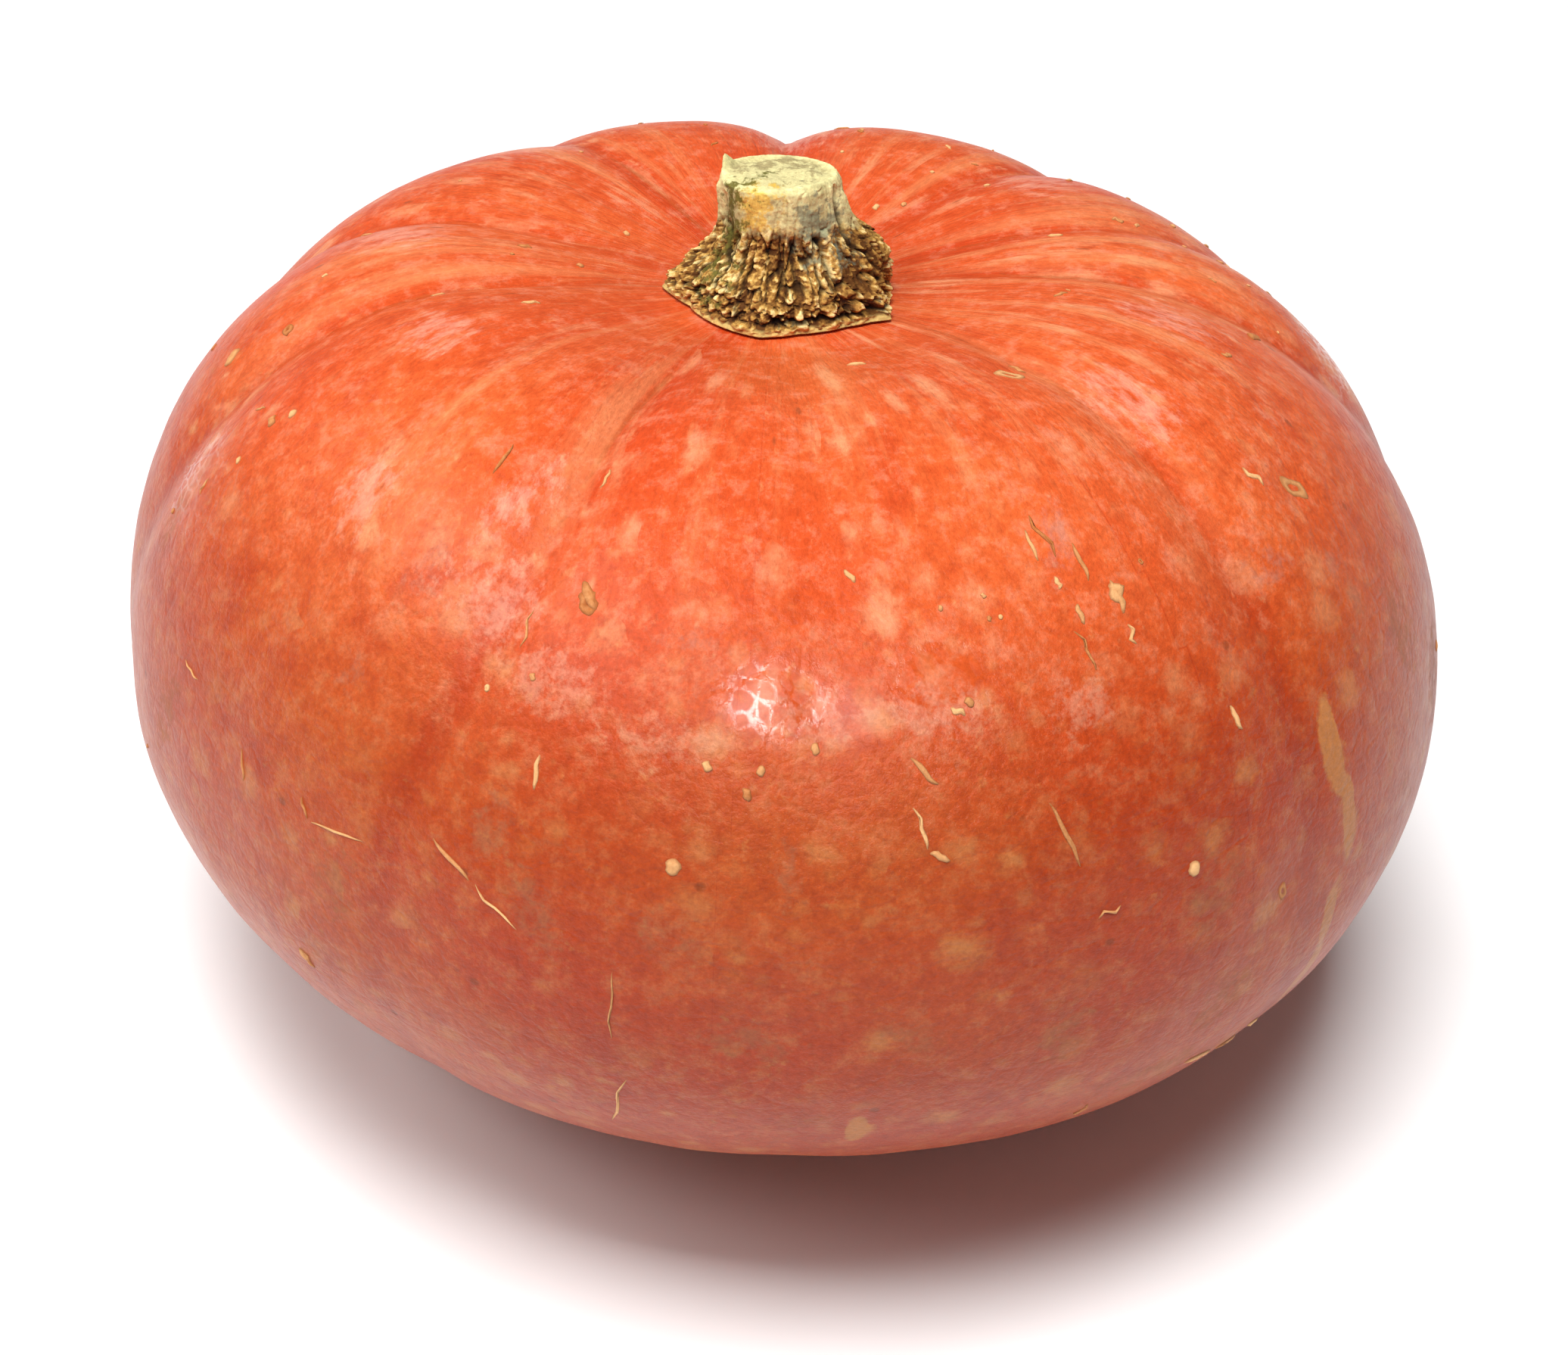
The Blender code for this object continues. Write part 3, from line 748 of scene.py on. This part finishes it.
def cork_relief(azimuth, height, radius):
    """Relief of the stalk's side in millimetres, how far each place is a crack, darkened as dark cork and
    painted shade, and its tone.
    """
    turn = np.radians(azimuth)
    ring = np.stack([np.sin(turn) * radius, -np.cos(turn) * radius, height], axis=-1)
    bend = grain(ring, 4.0, 2, 3.0)
    low = 1.0 - ease((height - 2.8) / 2.0)
    neck = ease((height - 9.5) / 4.0)
    column = (1.0 - low) * (1.0 - neck)
    rim = 1.0 - ease((height - 0.9) / 0.6)
    # Columns 1.5 mm wide and 8 mm tall in the middle.
    tall = [np.sin(turn) * 7.6 + bend * 0.3, -np.cos(turn) * 7.6, height / 8.0 + bend * 0.3]
    tall = np.stack(tall, axis=-1)
    tall_edge, tall_chance = cork_cells(tall)
    # Crumbs of 1.5 mm in the apron, and grit of half that all over the cork.
    shaken = np.stack([bend, -bend, bend], axis=-1) * 0.5
    crumb_edge, crumb_chance = cork_cells(ring / 1.55 + shaken)
    grit_edge, grit_chance = cork_cells(ring / 0.72 + shaken)
    tall_crack = 1.0 - ease(tall_edge / 0.14)
    crumb_crack = (1.0 - ease(crumb_edge / 0.16)) * (1.0 - 0.7 * rim)
    grit_crack = 1.0 - ease(grit_edge / 0.22)
    relief = column * (0.35 + 0.42 * tall_chance - 1.1 * tall_crack)
    relief += (low + 0.10 * column) * (0.45 * crumb_chance * (1.0 - 0.7 * rim) - 0.6 * crumb_crack)
    relief += (low + 0.6 * column) * (0.14 * grit_chance - 0.16 * grit_crack)
    relief += neck * (0.22 * grain(ring * (1.0, 1.0, 0.3), 2.4, 2, 8.0) - 0.15 * tall_crack)
    dark_crack_and_shade = column * tall_crack + (low + 0.15 * column) * crumb_crack + 0.2 * neck * tall_crack
    dark_crack_and_shade += 0.15 * (1.0 - neck) * grit_crack
    tone = 0.30 * column * tall_chance + 0.32 * low * crumb_chance + 0.34 * grit_chance
    # Crumbled hollow round the foot of the columns, and the slit over the rim at the front right; both are
    # sunk and also darkened with painted shade.
    foot = np.exp(-(((height - 5.0 + 1.2 * bend) / 0.5) ** 2)) * ease(np.abs(bend) * 2.5)
    relief -= 0.9 * foot
    slit_line = 1.7 + 0.3 * bend
    slit_span = ease((azimuth + 12) / 14) * ease((70 - azimuth) / 14)
    slit = np.exp(-(((height - slit_line) / 0.32) ** 2)) * slit_span
    relief -= 1.5 * slit
    dark_crack_and_shade += 0.7 * foot + 1.2 * slit
    # Splits are sunk and darkened, partly dark inner cork and partly painted shade; ribs stand out.
    for centre, lowest, highest, width, depth in SPLITS:
        across = turn_between(azimuth + 3.0 * bend, centre) / width
        span = ease((height - lowest) / 1.5) * ease((highest - height) / 1.5)
        split = np.exp(-across * across) * span
        relief -= depth * split
        dark_crack_and_shade += np.maximum(0.0, depth) * 0.8 * split
    relief += (0.20 - 0.13 * neck) * grain(ring, 0.8, 3, 21.0)
    relief *= ease(height / 0.8)
    return relief, np.clip(dark_crack_and_shade, 0.0, 1.0), tone


def stalk_profile():
    """Radius and height in millimetres from the middle of the underside to that of the cut."""
    under = [(radius, 0.0) for radius in (0.0, 4.0, 8.0, 11.0, 13.0, 14.4, 15.4)]
    side = [(16.0 - height * 0.3, height) for height in np.arange(0.15, 18.9, 0.13)]
    top = [(radius, CUT_HEIGHT) for radius in np.arange(8.9, 0.1, -0.2)]
    return under + side + top + [(0.0, CUT_HEIGHT)]


def make_stalk():
    """The stalk: a turned grid broken into corky columns, an apron of crumbs and a woody cut."""
    profile_rows = stalk_profile()
    count = len(profile_rows)
    # A plain cone of rows keeps every row apart, so that each vertex still knows its own.
    rows = [((1.0 + min(index, count - 1 - index)) * MM, index * MM) for index in range(count)]
    rows[0] = (0.0, 0.0)
    rows[-1] = (0.0, (count - 1) * MM)
    shape = turned_mesh(rows, STALK_STEPS)
    piece = finish_piece("squash_stalk", shape, corky_stalk())
    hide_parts("stem")
    mesh = piece.data
    turned = read_points(mesh)
    row = np.rint(turned[:, 2] / MM).astype(int)
    azimuth = np.degrees(np.arctan2(turned[:, 0], -turned[:, 1]))
    table = np.array(profile_rows)
    flat_radius = table[row, 0]
    height = table[row, 1]
    on_cut = height == CUT_HEIGHT
    below = height == 0.0
    full = stalk_radius(azimuth, height)
    relief, dark_crack_and_shade, tone = cork_relief(azimuth, height, full)
    share = np.where(on_cut, flat_radius / 9.0, np.where(below, flat_radius / 16.0, 1.0))
    radius = full * share + relief * share ** 4
    # The cut's edge is worn round, most of all at the front left.
    worn = 0.55 + 0.9 * np.exp(-((turn_between(azimuth, -35.0) / 45.0) ** 2))
    shoulder = ease((height - (CUT_HEIGHT - 2.0)) / 2.0) * ease((share - 0.55) / 0.45)
    radius -= 0.5 * worn * shoulder
    turn = np.radians(azimuth)
    place = np.stack([np.sin(turn) * radius, -np.cos(turn) * radius, height], axis=-1)
    face = np.where(on_cut, 1.0 - ease((share - 0.75) / 0.25), 0.0)
    grainy = grain(place * (1.0, 1.0, 0.0), 3.2, 5, 31.0)
    place[:, 2] += np.where(on_cut, 0.45 * grainy * ease((1.0 - share) / 0.15), 0.0)
    place[:, 2] -= 0.9 * worn * shoulder + 0.5 * face
    place[:, 2] += -place[:, 1] * math.tan(math.radians(CUT_SLOPE)) * ease(height / CUT_HEIGHT)
    spur = np.exp(-((turn_between(azimuth, -113.0) / 8.0) ** 2)) * ease((height - 17.5) / 2.0)
    spur *= np.where(on_cut, ease((share - 0.80) / 0.20), 1.0)
    place[:, 2] += 1.5 * spur
    place[:, 0] -= 0.4 * spur
    placed = place * MM + np.array([0.0, 0.0, SEAT_HEIGHT + STALK_GAP])
    write_points(mesh, stand(placed))
    store(mesh, "tone", tone)
    store(mesh, "dark_crack_and_shade", dark_crack_and_shade)
    store(mesh, "stalk_place", np.stack([azimuth, height, radius], axis=-1))
    store(mesh, "cut", face)


def stained(tree, bark, spot, blotch, place, size, most, colour):
    """Lay a ragged patch of colour on the stalk, placed by azimuth, height and radius."""
    inside = add(
        tree, "ShaderNodeMapping", {"Vector": spot, "Location": place, "Scale": size}, vector_type="TEXTURE",
    )
    inside = add(tree, "ShaderNodeVectorMath", {0: inside}, operation="LENGTH")
    inside = add(tree, "ShaderNodeMath", {0: blotch, 1: -6.0, 2: inside}, operation="MULTIPLY_ADD")
    inside = add(
        tree, "ShaderNodeMapRange", {"Value": inside, "From Min": -1.95, "From Max": -2.60, "To Max": most},
    )
    return add(tree, "ShaderNodeMix", {"Factor": inside, "A": bark, "B": tint(colour)}, data_type="RGBA")


def crumbly_cork(tree, shade, fleck):
    """Cork: brown, with tan and cream on what stands proud."""
    proud = add(tree, "ShaderNodeMath", {0: fleck, 1: 1.8, 2: shade}, operation="MULTIPLY_ADD")
    cork = add(tree, "ShaderNodeValToRGB", {"Fac": 0.0})
    ramp = cork.color_ramp
    ramp.elements[0].position = 0.10
    ramp.elements[0].color = tint("#5A3616")
    ramp.elements[1].position = 0.92
    ramp.elements[1].color = tint("#F0D694")
    ramp.elements.new(0.40).color = tint("#946830")
    ramp.elements.new(0.62).color = tint("#C4984E")
    spread = add(tree, "ShaderNodeMapRange", {"Value": proud, "From Min": -0.50, "From Max": 1.42})
    feed(tree, cork, {"Fac": spread})
    return cork


def neck_wood(tree, spot, azimuth, cut, patchy, blotch):
    """Neck: pale grey-green wood with a browner cut and a yellow stain over its front edge."""
    mixed = add(tree, "ShaderNodeMath", {0: patchy, 1: 0.5, 2: 0.0}, operation="MULTIPLY_ADD")
    mixed = add(tree, "ShaderNodeMath", {0: blotch, 1: 0.5, 2: mixed}, operation="MULTIPLY_ADD")
    wood = add(tree, "ShaderNodeMapRange", {"Value": mixed, "From Min": 0.41, "From Max": 0.55})
    wood = add(
        tree, "ShaderNodeMix", {"Factor": wood, "A": tint("#C6BA82"), "B": tint("#EEE4A6")},
        data_type="RGBA",
    )
    behind = add(tree, "ShaderNodeMath", {0: azimuth}, operation="ABSOLUTE")
    behind = add(
        tree, "ShaderNodeMapRange", {"Value": behind, "From Min": 60.0, "From Max": 140.0, "To Max": 0.09},
    )
    top = add(tree, "ShaderNodeMath", {0: blotch, 1: behind}, operation="ADD")
    top = add(
        tree, "ShaderNodeMapRange", {"Value": top, "From Min": 0.52, "From Max": 0.60, "To Max": 0.75},
    )
    top_wood = add(
        tree, "ShaderNodeMix", {"Factor": top, "A": tint("#CDC28C"), "B": tint("#8E7C54")}, data_type="RGBA",
    )
    wood = add(tree, "ShaderNodeMix", {"Factor": cut, "A": wood, "B": top_wood}, data_type="RGBA")
    wood = stained(tree, wood, spot, blotch, (-26.0, 15.5, 10.0), (30.0, 5.5, 4.5), 0.80, "#E0B03C")
    return wood


def corky_stalk():
    """Dry woody stalk with corky bark: matt, tan in the crumbs and nearly black in the cracks, partly the
    cork's own dark colour and partly painted shade.
    """
    material, tree, shader = blank_material("dry corky stalk")
    place = add(tree, "ShaderNodeTexCoord").outputs["Object"]
    shade = add(tree, "ShaderNodeAttribute", attribute_name="tone").outputs["Fac"]
    dark_crack_and_shade = add(tree, "ShaderNodeAttribute", attribute_name="dark_crack_and_shade").outputs["Fac"]
    cut = add(tree, "ShaderNodeAttribute", attribute_name="cut").outputs["Fac"]
    where = add(tree, "ShaderNodeAttribute", attribute_name="stalk_place")
    spot = where.outputs["Vector"]
    where = add(tree, "ShaderNodeSeparateXYZ", {"Vector": spot})
    azimuth = where.outputs["X"]
    height = where.outputs["Y"]
    patchy = add(
        tree, "ShaderNodeTexNoise", {"Vector": place, "Scale": 260.0, "Detail": 4.0, "Roughness": 0.65},
    )
    fleck = add(
        tree, "ShaderNodeTexNoise", {"Vector": place, "Scale": 1300.0, "Detail": 4.0, "Roughness": 0.7},
    )
    blotch = add(
        tree, "ShaderNodeTexNoise", {"Vector": place, "Scale": 480.0, "Detail": 5.0, "Roughness": 0.7},
    )
    cork = crumbly_cork(tree, shade, fleck)
    wood = neck_wood(tree, spot, azimuth, cut, patchy, blotch)

    # Cork gives way to wood at a ragged line, 12 mm up.
    line = add(tree, "ShaderNodeMath", {0: patchy, 1: -6.0, 2: height}, operation="MULTIPLY_ADD")
    line = add(tree, "ShaderNodeMapRange", {"Value": line, "From Min": 8.2, "From Max": 9.6})
    bark = add(
        tree, "ShaderNodeMix", {"Factor": line, "A": cork.outputs["Color"], "B": wood}, data_type="RGBA",
    )
    bark = stained(tree, bark, spot, blotch, (34.0, 13.0, 0.0), (28.0, 4.5, 100.0), 0.75, "#747E6A")
    bark = stained(tree, bark, spot, blotch, (-50.0, 12.0, 0.0), (20.0, 9.5, 100.0), 0.92, "#605C26")
    rim = add(
        tree, "ShaderNodeMapRange", {"Value": height, "From Min": 1.1, "From Max": 0.7, "To Max": 0.75},
    )
    bark = add(tree, "ShaderNodeMix", {"Factor": rim, "A": bark, "B": tint("#E2C478")}, data_type="RGBA")
    tone = add(
        tree, "ShaderNodeMapRange", {"Value": fleck, "From Min": 0.3, "From Max": 0.7, "To Min": 0.78,
            "To Max": 1.18},
    )
    bark = add(tree, "ShaderNodeVectorMath", {0: bark, "Scale": tone}, operation="SCALE")
    # Cracks, splits and hollows darkened nearly to black: partly the cork's own dark colour, partly painted
    # shade.
    dark = add(
        tree, "ShaderNodeMapRange", {"Value": dark_crack_and_shade, "From Min": 0.35, "From Max": 1.0, "To Max": 0.90},
    )
    bark = add(tree, "ShaderNodeMix", {"Factor": dark, "A": bark, "B": tint("#2E1B0C")}, data_type="RGBA")
    bump = add(tree, "ShaderNodeBump", {"Height": fleck, "Strength": 1.0, "Distance": 0.16 * MM})
    feed(tree, shader, {"Base Color": bark, "Normal": bump})
    shader.inputs["Roughness"].default_value = 0.85
    shader.inputs["Specular IOR Level"].default_value = 0.3
    return material


# ---------------------------------------------------------------- marks on the skin

# Straw-coloured slivers: azimuth and travel of both ends, and width in millimetres.
SLIVERS = (
    (25, 74, 26, 81, 0.7), (24, 76, 24, 81, 0.6), (28, 79, 28, 85, 0.7), (25, 83, 25, 85, 0.8),
    (26, 87, 26, 90, 0.9), (25, 90, 26, 96, 0.5), (30, 91, 30, 94, 0.8), (10, 103, 12, 107, 0.9),
    (10, 109, 11, 115, 0.6), (11, 115, 12.5, 116.5, 1.0), (20, 110, 22, 120, 0.7),
    (-18, 107, -18, 112, 0.8), (-22, 89, -22, 95, 0.4), (-32, 68, -32, 74, 0.6),
    (-20, 66, -20, 70, 0.5), (46, 44, 46.5, 47, 0.9), (53, 79, 54, 83, 1.0), (25, 126, 23, 127, 0.5),
    (-39, 125, -38, 128, 0.4), (-38, 128, -32, 127, 0.4), (-26, 122, -22, 126, 0.7),
    (-22, 126, -18, 131, 0.4), (-58, 120, -55, 121, 0.4), (-47, 124, -46, 129, 0.4),
    (-10, 151, -12, 166, 0.5), (-11, 133, -11, 145, 0.35), (26, 165, 26, 171, 0.7),
    (6, 79, 7, 81, 0.8), (-40, 152, -39, 155, 0.8), (37, 105, 37.5, 109, 1.0), (30, 85, 30, 90, 1.1),
    (-18, 84, -16, 88, 1.6),
)
# Round scabs: azimuth, travel, length and width in millimetres, turn, and depth of the middle.
SCABS = (
    (42, 47, 5, 3, 60, 1.0), (58, 86, 6, 3, 30, 1.0), (-17, 87, 4, 3, 40, 0.6), (30, 87, 3, 2.6, 0, 0.2),
    (40, 134, 3, 2, 0, 0.9), (20, 32, 3, 1.4, 70, 0.1), (-1, 105, 1.6, 1.2, 0, 0.0),
    (-2, 108, 2.0, 1.2, 30, 0.0), (-5, 105, 1.6, 1.3, 0, 0.0), (-20, 98, 1.2, 1.0, 0, 0.3),
    (-24, 101, 1.2, 1.0, 0, 0.3), (-7, 118, 2.5, 2.2, 0, 0.2), (-64, 85, 2.4, 1.6, 40, 0.0),
    (-62, 82, 1.8, 1.4, 0, 0.0), (-85, 89, 4, 2.4, 20, 0.1), (-82, 78, 2.4, 2.2, 0, 0.6),
    (-126, 29, 1.4, 1.2, 0, 0.0), (-96, 31, 1.4, 1.2, 0, 0.0), (150, 33, 1.8, 1.2, 20, 0.0),
    (144, 36, 1.4, 1.0, 0, 0.0), (82, 73, 4, 2.0, 70, 0.1), (134, 49, 1.6, 1.0, 0, 0.0),
    (130, 65, 1.8, 1.0, 0, 0.0), (31, 124, 2.4, 2.0, 0, 0.1), (-40, 153, 2.6, 1.4, 30, 0.0),
    (15, 97, 1.6, 1.2, 20, 0.1), (14, 98, 2.2, 1.0, 60, 0.1), (3, 102, 1.8, 1.2, 0, 0.1),
    (34, 84, 1.0, 0.8, 0, 0.9), (36, 163, 6, 2.0, 80, 0.3), (40, 165, 5, 1.8, 85, 0.2),
    (43, 164, 3, 1.6, 70, 0.2), (18, 84, 0.9, 0.7, 0, 0.0), (18, 87, 0.9, 0.7, 0, 0.0),
    (19, 87, 0.8, 0.7, 0, 0.0), (14, 85, 1.0, 0.7, 0, 0.0),
)
SCATTER_SEED = 20
SCATTERED = 110


def all_marks():
    """Every mark as (azimuth, travel, half length, half width, turn, dip), sizes in millimetres."""
    marks = []
    for start, start_travel, end, end_travel, width in SLIVERS:
        radius = float(np.interp((start_travel + end_travel) / 2.0 * MM, TRAVELS, RADII)) / MM
        across = math.radians(end - start) * radius
        along = end_travel - start_travel
        turn = math.degrees(math.atan2(across, along))
        marks.append(((start + end) / 2.0, (start_travel + end_travel) / 2.0,
                      math.hypot(across, along) / 2.0, width / 2.0, turn, 0.0))
    for azimuth, travel, length, width, turn, dip in SCABS:
        marks.append((azimuth, travel, length / 2.0, width / 2.0, turn, dip))
    draw = random.Random(SCATTER_SEED)
    for _ in range(SCATTERED):
        azimuth = draw.uniform(70.0, 300.0)
        travel = draw.uniform(40.0, 190.0)
        length = draw.uniform(0.4, 2.6) * draw.uniform(0.4, 1.0)
        width = min(length, draw.uniform(0.2, 0.6))
        marks.append((azimuth, travel, length, width, draw.uniform(-50.0, 50.0), draw.uniform(0.0, 0.3)))
    return marks


def make_scars():
    """Corky slivers and scabs: small closed flakes that follow the rind, sunk in it all round."""
    shape = bmesh.new()
    mark = shape.verts.layers.int.new("mark")
    marks = all_marks()
    for index in range(len(marks)):
        made = bmesh.ops.create_uvsphere(shape, u_segments=14, v_segments=6, radius=1.0)
        for vertex in made["verts"]:
            vertex[mark] = index
    ball = np.array([vertex.co for vertex in shape.verts])
    owner = np.array([vertex[mark] for vertex in shape.verts])
    data = np.array(marks)[owner]
    along, across, upward = ball.T
    span = np.hypot(along, across)
    crooked = grain(np.stack([along * 1.3 + owner * 7.0, across * 0.0, across * 0.0], axis=-1), 1.0)
    wide = data[:, 3] * (1.0 + 0.35 * grain(np.stack([along * 2.0, across, owner * 3.1], axis=-1), 1.0))
    turn = np.radians(data[:, 4])
    forward = along * data[:, 2]
    sideways = across * wide + crooked * np.minimum(0.5 * data[:, 2], 0.8)
    travel = (data[:, 1] + forward * np.cos(turn) - sideways * np.sin(turn)) * MM
    radius = np.interp(travel, TRAVELS, RADII) / MM
    azimuth = data[:, 0] + np.degrees((forward * np.sin(turn) + sideways * np.cos(turn)) / radius)
    point, facing = rind_facing(azimuth, travel)
    dome = (1.0 - span ** 2) * (1.0 - data[:, 5] * np.exp(-((span / 0.5) ** 2)) * 1.5)
    rough = 1.0 + 0.5 * grain(np.stack([forward, sideways, owner * 5.0], axis=-1), 0.7)
    thick = np.minimum(0.42, 0.18 + data[:, 3] * 0.30)
    lift = np.where(span > 0.97, -0.15, np.where(upward > 0.0, thick * dome * rough, -0.30))
    placed = stand(point + facing * (lift * MM)[:, None])
    for vertex, place in zip(shape.verts, placed):
        vertex.co = place
    shape.verts.layers.int.remove(mark)
    bmesh.ops.recalc_face_normals(shape, faces=shape.faces[:])
    piece = finish_piece("corky_scars", shape, scar_cork())
    store(piece.data, "shade", owner * 0.618 % 1.0)
    store(piece.data, "heart", np.clip(data[:, 5] * (1.0 - span / 0.6), 0.0, 1.0))
    store(piece.data, "edge", span)


def scar_cork():
    """Healed scars: thin dry cork, straw to grey-tan, dark in the middle of a deep one."""
    material, tree, shader = blank_material("healed scar cork")
    place = add(tree, "ShaderNodeTexCoord").outputs["Object"]
    shade = add(tree, "ShaderNodeAttribute", attribute_name="shade").outputs["Fac"]
    heart = add(tree, "ShaderNodeAttribute", attribute_name="heart").outputs["Fac"]
    edge = add(tree, "ShaderNodeAttribute", attribute_name="edge").outputs["Fac"]
    fleck = add(
        tree, "ShaderNodeTexNoise", {"Vector": place, "Scale": 1400.0, "Detail": 3.0, "Roughness": 0.7},
    )
    blend = add(tree, "ShaderNodeMath", {0: fleck, 1: 0.9, 2: shade}, operation="MULTIPLY_ADD")
    blend = add(tree, "ShaderNodeMapRange", {"Value": blend, "From Min": 0.3, "From Max": 1.5})
    cork = add(
        tree, "ShaderNodeMix", {"Factor": blend, "A": tint("#B0622A"), "B": tint("#EAB67C")},
        data_type="RGBA",
    )
    dark = add(tree, "ShaderNodeMapRange", {"Value": heart, "From Min": 0.1, "From Max": 0.6})
    cork = add(tree, "ShaderNodeMix", {"Factor": dark, "A": cork, "B": tint("#8C4212")}, data_type="RGBA")
    rim = add(
        tree, "ShaderNodeMapRange", {"Value": edge, "From Min": 0.62, "From Max": 0.95, "To Max": 0.75},
    )
    cork = add(tree, "ShaderNodeMix", {"Factor": rim, "A": cork, "B": tint("#86451A")}, data_type="RGBA")
    bump = add(tree, "ShaderNodeBump", {"Height": fleck, "Strength": 0.8, "Distance": 0.15 * MM})
    feed(tree, shader, {"Base Color": cork, "Normal": bump})
    shader.inputs["Roughness"].default_value = 0.7
    shader.inputs["Specular IOR Level"].default_value = 0.35
    return material


# ---------------------------------------------------------------- floor, light and camera

def make_floor():
    """Plain white floor of matt card."""
    material, tree, shader = blank_material("white card")
    place = add(tree, "ShaderNodeTexCoord").outputs["Object"]
    fibre = add(tree, "ShaderNodeTexNoise", {"Vector": place, "Scale": 40.0, "Detail": 3.0})
    card = add(
        tree, "ShaderNodeMix", {"Factor": fibre, "A": tint("#F6F5F4"), "B": tint("#FBFAFA")},
        data_type="RGBA",
    )
    feed(tree, shader, {"Base Color": card})
    shader.inputs["Roughness"].default_value = 0.9
    shader.inputs["Specular IOR Level"].default_value = 0.2
    shape = bmesh.new()
    bmesh.ops.create_grid(shape, x_segments=4, y_segments=4, size=6.0)
    bmesh.ops.translate(shape, verts=shape.verts[:], vec=(0.0, 0.0, -0.3 * MM))
    mesh = bpy.data.meshes.new("floor")
    shape.to_mesh(mesh)
    shape.free()
    mesh.materials.append(material)
    floor = bpy.data.objects.new("floor", mesh)
    bpy.context.scene.collection.objects.link(floor)


def add_panel(name, azimuth, elevation, distance, size, power, mirrored=True, spread=True):
    """A soft light panel that faces the fruit; the wax may mirror it, and it may light the rest."""
    light = bpy.data.lights.new(name, "AREA")
    light.shape = "RECTANGLE"
    light.size = size[0]
    light.size_y = size[1]
    light.energy = power
    panel = bpy.data.objects.new(name, light)
    bpy.context.scene.collection.objects.link(panel)
    around = math.radians(azimuth)
    above = math.radians(elevation)
    place = Vector((math.sin(around) * math.cos(above), -math.cos(around) * math.cos(above), math.sin(above)))
    panel.location = Vector(SHIFT) + place * distance
    panel.rotation_euler = place.to_track_quat("Z", "Y").to_euler()
    panel.visible_glossy = mirrored
    panel.visible_diffuse = spread


def light_scene():
    """Dim white room, a large soft box overhead, a window at the left and a lamp in front."""
    world = bpy.data.worlds.new("white room")
    bpy.context.scene.world = world
    world.use_nodes = True
    backdrop = world.node_tree.nodes["Background"]
    backdrop.inputs["Color"].default_value = (1.0, 1.0, 1.0, 1.0)
    backdrop.inputs["Strength"].default_value = 0.12
    add_panel("soft box", -12.0, 76.0, 1.8, (0.80, 0.80), 41.5, mirrored=False)
    add_panel("window", -72.0, 50.0, 1.5, (1.2, 0.5), 8.5)
    add_panel("lamp", -1.0, 44.5, 1.4, (0.28, 0.22), 7.5, spread=False)
    bpy.context.scene.view_settings.view_transform = "Standard"


CAMERA_ELEVATION = 34.2
CAMERA_DISTANCE = 0.411
CAMERA_LENS = 57.35
CAMERA_SHIFT = (0.0115, -0.0368)


def add_camera():
    """Camera in front of the fruit, looking down on it."""
    camera = bpy.data.cameras.new("camera")
    camera.lens = CAMERA_LENS
    camera.sensor_width = 36.0
    camera.shift_x, camera.shift_y = CAMERA_SHIFT
    camera.clip_start = 0.01
    viewer = bpy.data.objects.new("camera", camera)
    bpy.context.scene.collection.objects.link(viewer)
    above = math.radians(CAMERA_ELEVATION)
    viewer.location = Vector(SHIFT) + Vector((0.0, -math.cos(above), math.sin(above))) * CAMERA_DISTANCE
    viewer.rotation_euler = (math.pi / 2.0 - above, 0.0, 0.0)
    bpy.context.scene.camera = viewer


make_fruit()
make_stalk()
make_scars()
make_floor()
light_scene()
add_camera()
